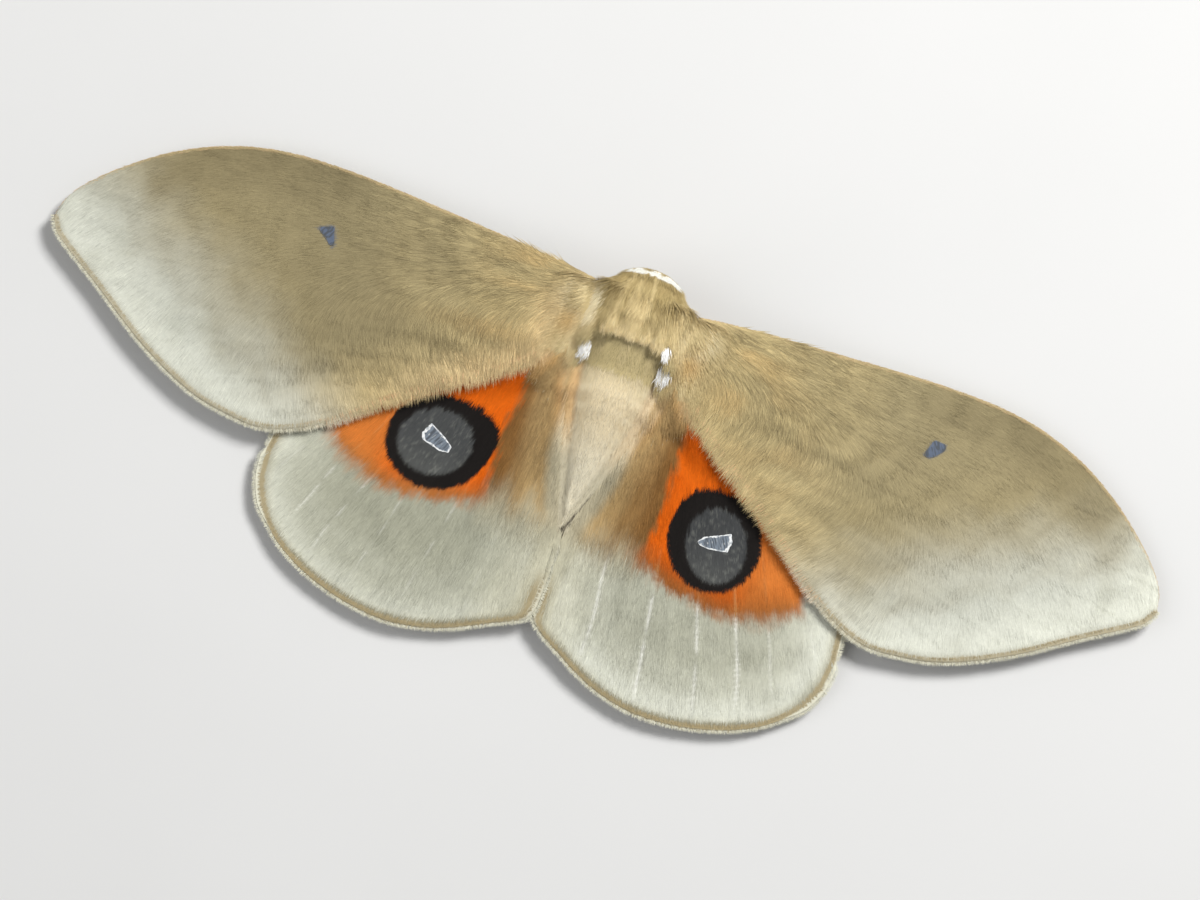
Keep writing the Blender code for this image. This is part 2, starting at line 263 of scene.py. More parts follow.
def new_piece(name, points, faces, colours, material, bake_map=None, smooth=True):
    """A mesh object on the part's body, from points in millimetres and groups of triangles or quads, with
    one colour or one for each point and, where bake_map is given, a map place for each face's corners."""
    row = (np.asarray(points) + (0, ROW_SHIFT, 0)) * MM
    corners = np.concatenate([np.ravel(group) for group in faces]).astype(np.int32)
    sizes = np.concatenate([np.full(len(group), np.shape(group)[1]) for group in faces])
    mesh = bpy.data.meshes.new(name)
    mesh.vertices.add(len(row))
    mesh.vertices.foreach_set("co", row.astype(np.float32).ravel())
    mesh.loops.add(len(corners))
    mesh.loops.foreach_set("vertex_index", corners)
    mesh.polygons.add(len(sizes))
    mesh.polygons.foreach_set("loop_start", np.concatenate([[0], np.cumsum(sizes)[:-1]]).astype(np.int32))
    mesh.update(calc_edges=True)
    mesh.polygons.foreach_set("use_smooth", np.full(len(sizes), smooth))
    paint = mesh.color_attributes.new("Coat", "FLOAT_COLOR", "POINT")
    painted = np.column_stack([np.broadcast_to(colours, row.shape), np.ones(len(row))])
    paint.data.foreach_set("color", painted.astype(np.float32).ravel())
    if bake_map is not None:
        mesh.uv_layers.new(name="OFBake").uv.foreach_set("vector", bake_map.astype(np.float32).ravel())
    made = bpy.data.objects.new(name, mesh)
    bpy.context.scene.collection.objects.link(made)
    made.data.materials.append(material)
    if smooth:
        face_outwards(mesh)
    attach(made, "root")
    return made


GRAIN_FROM = 0.25           # the part of the grain's range that is spread over the tones
GRAIN_TO = 0.75
ROUGHNESS_SPREAD = 0.08
RELIEF_HEIGHT = 0.00006     # metres


def new_material(name):
    material = bpy.data.materials.new(name)
    material.use_nodes = True
    return material, material.node_tree, material.node_tree.nodes["Principled BSDF"]


def node(tree, kind, **values):
    """A node with its settings. Sockets go by their names with _ for a space."""
    made = tree.nodes.new(kind)
    for key, value in values.items():
        socket = key.replace("_", " ")
        if socket in made.inputs:
            made.inputs[socket].default_value = value
        else:
            setattr(made, key, value)
    return made


def set_sockets(shader, **values):
    for key, value in values.items():
        shader.inputs[key.replace("_", " ")].default_value = value


def colour_ramp(tree, low, high):
    ramp = node(tree, "ShaderNodeValToRGB")
    for element, colour in zip(ramp.color_ramp.elements, (low, high)):
        element.color = (*colour, 1)
    return ramp


def painted_material(name, roughness, grain, grain_share, sheen=0.0, bump_strength=0.0, specular=0.12):
    """The point colours, broken by a fine grain in brightness and roughness, and in height where asked."""
    material, tree, shader = new_material(name)
    link = tree.links.new
    paint = node(tree, "ShaderNodeAttribute", attribute_name="Coat")
    place = node(tree, "ShaderNodeTexCoord")
    speckle = node(tree, "ShaderNodeTexNoise", Scale=grain, Detail=4.0, Roughness=0.6)
    spread = node(tree, "ShaderNodeMapRange", From_Min=GRAIN_FROM, From_Max=GRAIN_TO, To_Min=1 - grain_share,
                  To_Max=1 + grain_share)
    tone = node(tree, "ShaderNodeVectorMath", operation="SCALE")
    shine = node(tree, "ShaderNodeMapRange", To_Min=roughness - ROUGHNESS_SPREAD,
                 To_Max=min(1.0, roughness + ROUGHNESS_SPREAD))
    link(place.outputs["Object"], speckle.inputs["Vector"])
    link(speckle.outputs["Fac"], spread.inputs["Value"])
    link(speckle.outputs["Fac"], shine.inputs["Value"])
    link(paint.outputs["Color"], tone.inputs[0])
    link(spread.outputs["Result"], tone.inputs["Scale"])
    link(tone.outputs["Vector"], shader.inputs["Base Color"])
    link(shine.outputs["Result"], shader.inputs["Roughness"])
    set_sockets(shader, Specular_IOR_Level=specular, Sheen_Weight=sheen, Sheen_Roughness=0.4)
    if bump_strength:
        relief = node(tree, "ShaderNodeBump", Strength=bump_strength, Distance=RELIEF_HEIGHT)
        link(speckle.outputs["Fac"], relief.inputs["Height"])
        link(relief.outputs["Normal"], shader.inputs["Normal"])
    return material


# ---------------------------------------------------------------- tufts

# Two kinds of tuft, whose faces point outwards: a straight one that is widest at its root, and a curved one
# that is widest further on and starts from a point.
STRAIGHT_FACES = np.array([(0, 1, 3), (1, 2, 3), (2, 0, 3), (0, 2, 1)])
CURVED_FACES = np.array([(0, 1, 3), (0, 3, 2), (0, 2, 1), (1, 4, 3), (3, 4, 2), (2, 4, 1)])
WIDEST = 0.4
BAKE_PATCH = 0.003         # how wide a tuft's patch is on the bake map
STRAIGHT_PATCH = np.array([(-1, -1), (1, -1), (0, -0.5), (0, 1)]) * BAKE_PATCH / 2
CURVED_PATCH = np.array([(0, -1), (1, 0), (-1, 0), (0, 0), (0, 1)]) * BAKE_PATCH / 2


def tuft_mesh(roots, along, up, length, width, lift, curl, sag, curved, ridge):
    """Points of tapered, three-sided tufts. lift raises them off the skin, sag brings the tip back down."""
    side = unit(np.cross(along, up))

    def spine(share):
        rise = length * (lift * share - sag * share ** 2)
        return (roots + along * (length * share)[:, None] + up * rise[:, None]
                + side * (length * curl * share ** 2)[:, None])

    middle, half = spine(WIDEST if curved else 0.0), (width / 2)[:, None]
    ring = [middle + side * half, middle - side * half, middle + up * half * ridge]
    return np.stack([roots] * curved + ring + [spine(1.0)], axis=1)


def tuft_piece(name, roots, along, up, length, width, lift, curl, sag, colours, at, slot, material,
               curved=True, mirror=1, tip_tone=1.05, ridge=0.3):
    """One object of many tufts. at is each root's place on the bake map."""
    points = tuft_mesh(roots, along, up, length, width, lift, curl, sag, curved, ridge)
    pattern = CURVED_FACES if curved else STRAIGHT_FACES
    each = points.shape[1]
    faces = (np.arange(len(roots)) * each)[:, None, None] + pattern[None]
    if mirror < 0:
        points = points * (-1, 1, 1)
        faces = faces[:, :, ::-1]
    tones = np.array([2 - tip_tone, 1, 1, 1, tip_tone] if curved else [2 - tip_tone] * 3 + [tip_tone])
    painted = np.clip(colours[:, None, :] * tones[None, :, None], 0, 1)
    spots = (at[:, None, :] + (CURVED_PATCH if curved else STRAIGHT_PATCH)).reshape(-1, 2)
    new_piece(name, points.reshape(-1, 3), [faces.reshape(-1, 3)], painted.reshape(-1, 3), material,
              bake_map=spots[faces.ravel()], smooth=False)


# ---------------------------------------------------------------- wing surfaces

def wing_reach(x, y):
    return np.hypot(x, PLAN_SQUASH * (y - FALL_CENTRE_Y))


def membrane_height(x, y):
    return MARGIN_HEIGHT + ROOT_RISE * np.exp(-(wing_reach(x, y) - ROOT_RADIUS) / FALL_LENGTH)


def hindwing_height(x, y):
    starts = ease((FOLD_START_Y - y) / FOLD_START_FADE)
    ends = ease((y - FOLD_END_Y) / FOLD_END_FADE)
    aside = (x - FOLD_CENTRE + FOLD_LEAN * (FOLD_START_Y - y)) / FOLD_WIDTH
    return membrane_height(x, y) + FOLD_RISE * starts * ends * np.exp(-aside ** 2)


def forewing_height(x, y, across):
    at_root = np.exp(-(wing_reach(x, y) - FOREWING_ROOT_RADIUS) / FOREWING_ROOT_FADE)
    lift = FOREWING_LIFT + FOREWING_ROOT_LIFT * at_root
    return membrane_height(x, y) + lift - COSTA_DROOP * (1 - across) ** 6


def turned(x, y, degrees):
    """Plan points turned about the forewing's pivot."""
    turn = math.radians(degrees)
    px, py = FOREWING_PIVOT
    return (px + (x - px) * math.cos(turn) - (y - py) * math.sin(turn),
            py + (x - px) * math.sin(turn) + (y - py) * math.cos(turn))


LINE_POINTS = 160          # points on each of a wing's edges
FRINGE_DEPTH = 0.5         # how far the fringe stands out from the membrane
LOOSE_EDGE = 0.8           # how much further the forewing's loose hair stands out near the body
MEMBRANE_HALF = 0.07       # half the membrane's thickness
WING_STEPS = {"forewing": (190, 84), "hindwing": (120, 110)}
VEIN_RELIEF = {"forewing": 0.01, "hindwing": 0.02}
# Veins as straight fans: the fan's origin in plan, and each vein's bearing as x per unit of -y.
HIND_FAN = (2.0, 30.0)
HIND_VEINS = [0.083, 0.192, 0.293, 0.380, 0.455, 0.55]
HIND_VEIN_WHITE = {"r": [0.8, 0.95, 0.8, 1.0, 0.35, 0.25], "l": [0.15, 0.35, 0.35, 0.5, 0.5, 0.3]}
FORE_FAN = (-20.0, 5.0)
FORE_VEINS = [-0.07, -0.01, 0.05, 0.11, 0.17, 0.235, 0.30, 0.37, 0.44]


TRAIL = smooth_path(FOREWING_REAR, 60)[:32]    # the forewing's rear edge, from the root outwards
UNDER_GAP = 0.24           # how far the hindwing lies below the forewing's rear edge near the root
UNDER_REACH = 3.4          # how far behind that edge the hindwing has come down to its own height
HINDWING_LAP = 0.75        # how far the left hindwing reaches over the right one, behind the abdomen
HINDWING_LAP_RISE = 0.11


def lap_share(x, y):
    """How much the hindwing's inner edge takes part where the left one lies over the right."""
    return ease((3.5 - x) / 3.3) * ease((-18.5 - y) / 3.5) * ease((y + 36.5) / 3.0)


def hind_bearing(x, y):
    return (x - HIND_FAN[0]) / np.maximum(HIND_FAN[1] - y, 1.0)


def fore_bearing(x, y):
    return (FORE_FAN[1] - y) / np.maximum(x - FORE_FAN[0], 1.0)


def vein_ridges(kind, x, y):
    """How close each point is to a vein, from 0 to 1."""
    if kind == "hindwing":
        bearing, veins, spread = hind_bearing(x, y), HIND_VEINS, HIND_FAN[1] - y
    else:
        bearing, veins, spread = fore_bearing(x, y), FORE_VEINS, x - FORE_FAN[0]
    return sum(bump((bearing - vein) * spread, 0, 0.28) for vein in veins)


def hindwing_top(x, y):
    """Height of the hindwing's middle surface, which meets the forewing's rear edge near the root."""
    behind = edge_distance(x, y, TRAIL) * (y < np.interp(x, *TRAIL.T))
    share = ease((15.0 - x) / 4) * ease(1 - behind / UNDER_REACH)
    low = hindwing_height(x, y)
    return low + share * (forewing_height(x, y, 0.8) - UNDER_GAP - low).clip(0, 9)


def shifted_line(line, depth):
    """The line moved to its right, as seen along its run, by a depth for each point."""
    run = unit(np.gradient(line, axis=0))
    return line + np.stack([run[:, 1], -run[:, 0]], axis=1) * depth[:, None]


def wing_grid(kind, side):
    """A wing's middle surface as a grid from root to tip and front to rear, with what its looks need."""
    steps, rows = WING_STEPS[kind]
    front_edge, rear_edge = (smooth_path(points, LINE_POINTS) for points in WING_EDGES[kind])
    s = np.linspace(0, 1, steps + 1)
    t = np.linspace(0, 1, rows + 1)
    whole = np.linspace(0, 1, LINE_POINTS)
    front_line = shifted_line(front_edge, 0.12 + 0.33 * whole ** 12)
    inset = FRINGE_DEPTH * ease(whole / 0.06)
    if kind == "forewing":
        inset = inset * (1 + LOOSE_EDGE * ease((30 - rear_edge[:, 0]) / 8))
    else:
        inset = (inset * ease((-31.0 - rear_edge[:, 1]) / 3)
                 - 0.25 * ease((rear_edge[:, 1] + 20.5) / 2))
    rear_line = shifted_line(rear_edge, -inset)
    front, rear = rows_at(s, whole, front_line), rows_at(s, whole, rear_line)
    plain = front[:, None] * (1 - t)[None, :, None] + rear[:, None] * t[None, :, None]
    x, y = plain[..., 0], plain[..., 1]
    across = np.broadcast_to(t[None], x.shape)
    seed = 3 if side == "r" else 11
    if kind == "forewing":
        px, py = turned(x, y, FOREWING_SWEEP[side])
        height = forewing_height(px, py, across)
    else:
        px, py = x, y
        height = hindwing_top(px, py)
    out = ease((wing_reach(px, py) - 8.0) / 20.0)
    waves = 0.16 * out * noise(px / 9.0, py / 9.0, seed) + 0.05 * out * noise(px / 2.5, py / 2.5, seed + 1)
    veins = VEIN_RELIEF[kind] * vein_ridges(kind, x, y) * ease(wing_reach(x, y) / 14 - 0.6)
    lap = lap_share(px, py) if kind == "hindwing" else np.zeros(px.shape)
    hand = 1 if side == "l" else -1
    height = height + waves + veins + HINDWING_LAP_RISE * hand * lap
    px = px - HINDWING_LAP * lap * (side == "l")
    points = np.stack([px, py, height], axis=-1)
    normals = unit(np.cross(np.gradient(points, axis=1), np.gradient(points, axis=0)))
    normals = normals * np.sign(normals[..., 2:3])
    return {"kind": kind, "side": side, "seed": seed, "points": points, "normals": normals, "x": x, "y": y,
            "rear": margin_distance(kind, x, y, rear_edge, front_edge),
            "front": edge_distance(x, y, front_edge) if kind == "forewing" else np.full(x.shape, 9.0),
            "lie": hair_lie(kind, x, y, across, rear_line, front_line, s)}


def margin_distance(kind, x, y, rear_edge, front_edge):
    """How far each point is from the wing's rear and outer edge, without the edge beside the abdomen."""
    if kind == "forewing":
        return edge_distance(x, y, rear_edge)
    outer = np.vstack([rear_edge[rear_edge[:, 1] < -20.5], front_edge[::-1][front_edge[::-1, 1] < -16.5]])
    return edge_distance(x, y, outer)


def hair_lie(kind, x, y, across, rear_line, front_line, s):
    """The plan direction that hair and scales point in, at each grid point."""
    if kind == "hindwing":
        fan = unit(np.stack([x - HIND_FAN[0], y - HIND_FAN[1]], axis=-1))
        root = unit(np.stack([x - 3.0, y - 4.0], axis=-1))
        near_front = ease((y + 6.0) / 8.0) * ease((x - 9.0) / 3.0)
        return unit(mix(fan, root, near_front))
    whole = np.linspace(0, 1, LINE_POINTS)
    rear_run = unit(np.gradient(rear_line, axis=0))
    outward = np.stack([rear_run[:, 1], -rear_run[:, 0]], axis=1)
    outward = rows_at(s, whole, outward)
    onward = rows_at(s, whole, unit(np.gradient(front_line, axis=0)))
    root = unit(np.stack([x - 3.0, y - 7.0], axis=-1))
    share = ease(across * 1.1) ** 1.2
    ahead = mix(unit(onward + (0, -0.12))[:, None], outward[:, None], share)
    return unit(mix(ahead, root, 0.5 * ease((22 - x) / 16) + 0.45 * ease((11 - x) / 4)))


# ---------------------------------------------------------------- wing markings

# In the functions that paint, a number beside x or y is a place and one beside rear or front is a distance
# from that edge, both in millimetres. The last argument of a noise is its seed.

DISCAL_SPOTS = {"r": [(35.9, 0.4), (36.6, 2.7), (38.2, 2.6), (38.2, 1.8), (37.1, 0.6)],
                "l": [(38.5, 1.6), (36.6, 2.4), (35.8, -0.3)]}
BAND_STRENGTH = {("forewing", "r"): 0.9, ("forewing", "l"): 0.75,
                 ("hindwing", "r"): 0.9, ("hindwing", "l"): 0.9}
# How the two forewings differ: where the pale outer part starts, how buff the hair before the rear edge
# is, how dark the middle and how white the tip is, where the dark leading edge ends, how deep and how
# strong the peach tint along the rear edge is, partly painted light, and the light that falls on the wing.
FOREWING_LOOKS = {
    "r": {"pale_from": 23.5, "rear_buff": 0.22, "dark_middle": 0.08, "white_tip": 0.6, "dark_end": 63.5,
          "blush_depth": 4.2, "blush": 0.06, "tone": 1.06},
    "l": {"pale_from": 24.8, "rear_buff": 0.85, "dark_middle": 0.38, "white_tip": 0.1, "dark_end": 61.5,
          "blush_depth": 6.0, "blush": 0.52, "tone": 0.99},
}
# Faint cross lines on the forewing: how far out, how dark and how wide each is.
FOREWING_LINES = ((29.6, 0.17, 0.9), (35.2, 0.13, 1.1))
# Dim lines along the hindwing's outer edge: how dark each is, how far in and how wide.
HINDWING_LINES = ((0.30, 8.6, 1.0), (0.20, 5.4, 0.8))


def forewing_upper(x, y, rear, front, side, seed):
    """Upper forewing: olive-brown towards the body and the leading edge, fading to pale grey outside."""
    wave = 1.3 * noise(x / 5.0, y / 5.0, seed + 5) + 0.6 * noise(x / 1.8, y / 1.8, seed + 6)
    outer = 0.526 * x - 0.85 * y
    look = FOREWING_LOOKS[side]
    pale = ease((outer + wave - look["pale_from"]) / 15.0)
    across, down = hair_frame(x, y)
    core = mix(OLIVE, BASAL_BUFF, ease((36 - x) / 28.0 + 0.12 * noise(x / 4, y / 4, seed + 8)))
    warm = ease(noise(across / 2.2, down / 6.0, seed + 10) * 2) * bump(rear, 7.0, 4.0) * bump(x, 15.0, 9.0)
    ground = mix(OUTER_GREY, WHITISH, ease((8.5 - rear) / 8.0) * 0.75)
    core = layered(
        core,
        (BUFF, look["rear_buff"] * ease((10.5 - rear) / 9.0) * ease((40 - x) / 14)),
        (ORANGE_TINT, 0.22 * warm),
        (OLIVE_DARK, 0.20 * ease(rough_noise(across / 1.1, down / 5.0, seed + 9) * 1.5)),
        (OLIVE_DARK, look["dark_middle"] * bump(outer + wave, 19.0, 7.5)))
    ground = layered(
        ground,
        (WHITISH, look["white_tip"] * np.exp(-np.hypot(x - 65.5, y + 6.0) / 6.0)),
        (HIND_GREY, 0.30 * ease(rough_noise(x / 3.4, y / 3.4, seed + 12))))
    colour = mix(core, ground, pale)
    costal = ease((7.5 - front) / 6.0) * ease((x - 30) / 10) * ease((look["dark_end"] - x) / 7)
    blotch = 0.95 + 0.5 * noise(x / 2.6, y / 2.0, seed + 14)
    colour = mix(colour, OLIVE_DARK, (0.85 * costal * blotch).clip(0, 0.92))
    for start, depth, width in FOREWING_LINES:
        line = start + 0.8 * np.sin(x * 0.9) + 0.5 * noise(x / 3, y / 3, seed + 15)
        colour = mix(colour, OLIVE_DARK, depth * bump(outer, line, width))
    # Peach tint along the rear edge, partly real and partly painted light that lightens the shade of the
    # rear slope.
    blush = ease((look["blush_depth"] - rear) / 3.8) * ease((28 - x) / 10)
    depth = polygon_depth(x, y, DISCAL_SPOTS[side])
    bands = ease((x - 25) / 8) * BAND_STRENGTH["forewing", side]
    colour = layered(
        colour,
        (TRAIL_PEACH_WITH_PAINTED_LIGHT, look["blush"] * blush),
        (TRAIL_TIP, 0.55 * ease((0.9 - rear) / 1.2) * ease((30 - x) / 7)),
        (DISCAL_BLUE, ease((depth + 0.12) / 0.25)),
        (OLIVE_DARK, 0.25 * bump(depth, -0.3, 0.25)))
    return margin_bands(colour * look["tone"], rear, front, bands, 0.35)


def hair_frame(x, y):
    """Places across and along the forewing's combed hair, near enough to draw streaks in."""
    turn = np.arctan2(y - 9.0, x + 4.0)
    return turn * (x + 14.0), np.hypot(x + 4.0, y - 9.0)


def margin_bands(colour, rear, front, share, depth):
    """A soft olive line, an ochre band and a cream fringe at the outer edge, and the ochre leading edge."""
    colour = layered(
        colour,
        (MARGIN_DARK, share * depth * ease((1.75 - rear) / 0.6)),
        (MARGIN_OCHRE, share * ease((1.15 - rear) / 0.12) * (0.7 + 0.3 * depth)),
        (FRINGE_CREAM, share * ease((0.55 - rear) / 0.15)))
    return mix(colour, COSTA_OCHRE, 0.7 * ease((0.35 - front) / 0.2))


# The eye spots' black rings, grey discs and clear windows. Each oval has its centre, its half axes and the
# long one's bearing in degrees. The rings have a blunt point towards the body: its bearing and its height.
RINGS = {"r": ((17.05, -16.65), (6.0, 5.5), 110.0), "l": ((16.75, -17.05), (6.15, 5.55), 159.0)}
RING_POINTS = {"r": (135.0, 0.35), "l": (148.0, 1.15)}
RING_POINT_SPREAD = 0.4
DISCS = {"r": ((17.45, -17.1), (4.4, 3.55), 110.0), "l": ((17.05, -17.2), (4.4, 3.85), 159.0)}
WINDOWS = {"r": [(15.2, -17.4), (15.75, -16.65), (18.57, -15.25), (19.03, -16.13), (18.95, -17.4),
                 (16.8, -17.8), (15.6, -17.75)],
           "l": [(15.1, -17.2), (16.05, -16.45), (17.2, -15.9), (18.2, -15.4), (18.86, -16.87),
                 (18.5, -17.55), (16.2, -18.1), (15.16, -17.96)]}
ORANGE_EDGE = [(9.5, -1.0), (26.0, -10.0), (29.6, -18.6), (28.6, -20.8), (25.7, -22.9), (22.0, -24.0),
               (18.5, -24.0), (14.1, -23.3), (10.2, -21.9), (9.5, -21.2), (9.9, -18.6), (10.1, -14.5),
               (9.65, -9.2)]


def oval_depth(x, y, centre, axes, bearing):
    """How far inside an oval each point is, near enough."""
    lean = math.radians(bearing)
    dx, dy = x - centre[0], y - centre[1]
    u, v = dx * math.cos(lean) + dy * math.sin(lean), dy * math.cos(lean) - dx * math.sin(lean)
    return (1 - np.hypot(u / axes[0], v / axes[1])) * sum(axes) / 2


def eye_parts(x, y, side):
    """How far inside the black ring's outer edge, the grey disc and the clear window each point is."""
    centre = RINGS[side][0]
    bearing, point = RING_POINTS[side]
    off = np.angle(np.exp(1j * (np.arctan2(y - centre[1], x - centre[0]) - math.radians(bearing))))
    ring = oval_depth(x, y, *RINGS[side]) + point * bump(off, 0, RING_POINT_SPREAD)
    return ring, oval_depth(x, y, *DISCS[side]), polygon_depth(x, y, WINDOWS[side])


def inner_margin(y):
    """x of the hindwing's edge beside the abdomen."""
    return np.interp(-y, [2.9, 5.5, 9.5, 15.0, 20.6, 24.5], [5.5, 4.95, 4.0, 2.5, 0.75, 0.2])


def hindwing_upper(x, y, rear, front, side, seed):
    """Upper hindwing: pale grey with light veins, an orange patch round the eye spot, a brown inner fold."""
    right = 1.0 if side == "r" else 0.0
    ground = mix(HIND_GREY, HIND_PALE, (ease((11.0 - rear) / 9.0) * 0.80 + 0.05 + 0.38 * right).clip(0, 1))
    ground = layered(
        ground,
        (WHITISH, (0.55 + 0.25 * right) * ease((4.6 + 1.5 * right - rear) / 4.0)),
        (HIND_GREY, 0.45 * ease(rough_noise(x / 4.2, y / 2.6, seed + 2))),
        (HIND_BUFF, 0.5 * ease((9 - x) / 8) + 0.3 * ease((2.6 - rear) / 1.5)))
    for depth, start, width in HINDWING_LINES:
        line = start + 0.55 * np.sin(hind_bearing(x, y) * 70)
        ground = mix(ground, HIND_GREY, depth * bump(rear, line, width) * ease((-23 - y) / 3))
    streaks = np.zeros(np.shape(x))
    for vein, white in zip(HIND_VEINS, HIND_VEIN_WHITE[side]):
        wander = 0.35 * noise(y / 6.0, np.full_like(y, vein * 50), seed + 20)
        gap = np.abs((hind_bearing(x, y) - vein) * (HIND_FAN[1] - y) + wander)
        broken = ease(0.5 + 0.35 * right + 1.0 * noise(y / 1.3, np.full_like(y, vein * 90), seed + 21))
        streaks += white * broken * np.exp(-(gap / (0.12 + 0.05 * right)) ** 2)
    ends = ease((rear - 1.4) / 2.5)
    ground = mix(ground, WHITE, 0.7 * np.clip(streaks, 0, 1) * ends * ease((-20.5 - y) / 3))

    band = (x - inner_margin(y)) / np.maximum(9.8 - inner_margin(y), 1.0)
    back = ease((y + 26.0) / 6.0)
    low = ease((-17.0 - 1.5 * right - y + 1.2 * noise(x / 1.5, y / 6.0, seed + 22)) / 6.0)
    low = np.maximum(low, 0.8 * ease((0.32 - band) * 5) * ease((-9 - y) / 5))
    fold = mix(FOLD_CREAM, FOLD_TAN, ease((band - 0.04) / 0.16))
    brown = mix(FOLD_BROWN, FOLD_LIGHT, 0.45 + 0.25 * right)
    strong = ease((band - 0.42 + 0.16 * right) / 0.38) * (0.85 + 0.3 * noise(x / 0.7, y / 5, seed + 4))
    root = ease((y - np.interp(x, *TRAIL.T) + 2.6) / 1.6) * ease((10.3 - x) / 2)
    fold = layered(
        fold,
        (FOLD_PEACH, (0.9 - 0.4 * right) * bump(band, 0.12, 0.15) * ease((y + 12) / 5)),
        (brown, strong.clip(0, 1)),
        (FOLD_DARK, 0.85 * ease((band - 0.62) / 0.25)),
        (FOLD_TAN, 0.85 * ease((y + 5.5) / 4)),
        (FOLD_LOW, low))
    ground = mix(ground, fold, back * ease((1.12 + 0.25 * (y > -21) - band) / 0.18))

    dull = ease((-18.6 - y) / 3.2)
    zone = polygon_depth(x, y, ORANGE_EDGE) + 0.5 * right * dull
    far = ease((x - 19.5) / 4.5)
    orange = mix(ORANGE, ORANGE_PALE, 0.85 * far)
    orange = mix(orange, ORANGE_DULL, (0.95 * dull * ease((2.9 - zone) / 2.6)).clip(0, 1))
    orange = orange * (1 - 0.25 * right * dull)[..., None]
    soft = 0.4 + 1.5 * dull + 0.9 * far + 0.9 * ease((12.5 - x) / 2.5) * ease((-4 - y) / 4)
    ragged = (0.45 * noise(x / 0.8, y / 0.8, seed + 7)
              + 0.3 * noise(hind_bearing(x, y) * 150, y / 2.0, seed + 8))
    orange = mix(orange, FOLD_PEACH, 0.30 * streaks.clip(0, 1) * np.maximum(dull, far))
    ground = layered(
        ground,
        (orange, ease((zone + ragged) / soft + 0.5)),
        (ROOT_PEACH, 0.85 * root))

    ring, disc, window = eye_parts(x, y, side)
    speckle = ease((noise(x * 4.5, y * 4.5, seed + 31) - 0.35) / 0.4)
    grey = mix(DISC_GREY, OUTER_GREY, 0.04 - 0.02 * right + 0.13 * speckle + 0.05 * ease(-(y + 17) / 4))
    ragged = 0.30 * noise(hind_bearing(x, y) * 160, y / 1.2, seed + 9) * ease((y + 19) / 3)
    bands = np.maximum(ease((-26 - y) / 4) * ease((x + 1) / 2), ease((x - 28) / 3))
    ground = layered(
        ground,
        (RING_BLACK, ease((ring + 0.15 * noise(x * 3, y * 3, seed)) / 0.25 + 0.5)),
        (grey, ease((disc + ragged) / 0.45 + 0.4)),
        (WINDOW_BLUE, 0.5 * ease((window - 0.1) / 0.3)))
    return margin_bands(ground, rear, front, bands, 0.40 + 0.60 * ease((-32 - y) / 4))


def wing_under(kind, x, y, rear, front, side, seed):
    """Undersides: dull grey-buff with a brown band and a faint spot where the upper side has its eye."""
    ground = mix(UNDER_GREY, HIND_PALE, ease((9 - rear) / 9.0))
    line = 7.5 + 0.7 * np.sin((x + y) * 0.55)
    ground = layered(
        ground,
        (UNDER_BROWN, 0.35 * ease(rough_noise(x / 3.0, y / 3.0, seed + 41))),
        (UNDER_BROWN, 0.65 * bump(rear, line, 0.7)))
    if kind == "hindwing":
        ring, _, window = eye_parts(x, y, side)
        ground = mix(ground, UNDER_BROWN, 0.6 * bump(ring, 0.7, 0.6))
        ground = mix(ground, WINDOW_BLUE, ease(window / 0.2))
    else:
        gap = np.hypot(x - 37.0, y - 1.2)
        ground = mix(ground, UNDER_BROWN, 0.7 * bump(gap, 1.9, 0.5))
        ground = mix(ground, DISCAL_BLUE, ease((1.3 - gap) / 0.3))
    return margin_bands(ground, rear, front, 1.0, 0.4)


def wing_colour(grid_or_spots, upper):
    """Colours at a wing's grid or at scattered spots on it."""
    g = grid_or_spots
    if not upper:
        return wing_under(g["kind"], g["x"], g["y"], g["rear"], g["front"], g["side"], g["seed"])
    paint = forewing_upper if g["kind"] == "forewing" else hindwing_upper
    return paint(g["x"], g["y"], g["rear"], g["front"], g["side"], g["seed"])


# ---------------------------------------------------------------- wing pieces

def slab_faces(rows, columns):
    """Quads of a closed slab, whose top is a grid of points and whose bottom is the same grid after it. The
    sides come last."""
    index = np.arange(rows * columns).reshape(rows, columns)
    quads = index[:-1, 1:], index[1:, 1:], index[1:, :-1], index[:-1, :-1]
    top = np.stack([np.ravel(corner) for corner in quads], axis=1)
    rim = np.concatenate([index[:-1, 0], index[-1, :-1], index[:0:-1, -1], index[0, :0:-1]])
    after = np.roll(rim, -1)
    count = rows * columns
    sides = np.stack([rim, after, after + count, rim + count], axis=1)
    return np.concatenate([top, top[:, ::-1] + count, sides]), len(sides)


def make_membrane(grid, material):
    """The wing's skin: a thin closed sheet with the markings on both faces."""
    steps, width = grid["x"].shape
    points, normals = grid["points"].reshape(-1, 3), grid["normals"].reshape(-1, 3)
    both = np.concatenate([points + normals * MEMBRANE_HALF, points - normals * MEMBRANE_HALF])
    faces, side_count = slab_faces(steps, width)
    if grid["side"] == "l":
        both, faces = both * (-1, 1, 1), faces[:, ::-1]
    colours = np.concatenate([wing_colour(grid, upper).reshape(-1, 3) for upper in (True, False)])
    half = wing_map(points) * (1, 0.49)
    spots = np.concatenate([half, half + (0, 0.5)])[faces]
    spots[-side_count:] = half[faces[-side_count:] % len(points)]
    name = f"{grid['kind']}_membrane_{grid['side']}"
    made = new_piece(name, both, [faces], colours, material,
                     bake_map=spots.reshape(-1, 2))
    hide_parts(f"{grid['kind']}_{grid['side']}")


MAP_FROM = (0.0, -41.0)     # the part of the plan that a wing's bake map shows, as its corner and its size
MAP_SIZE = (72.0, 52.0)
MAP_EDGE = 0.004


def wing_map(points):
    """Each point's place on an unwrap of the wing, which is nearly flat: its plan, in a unit square."""
    return ((points[:, :2] - MAP_FROM) / MAP_SIZE).clip(MAP_EDGE, 1 - MAP_EDGE)


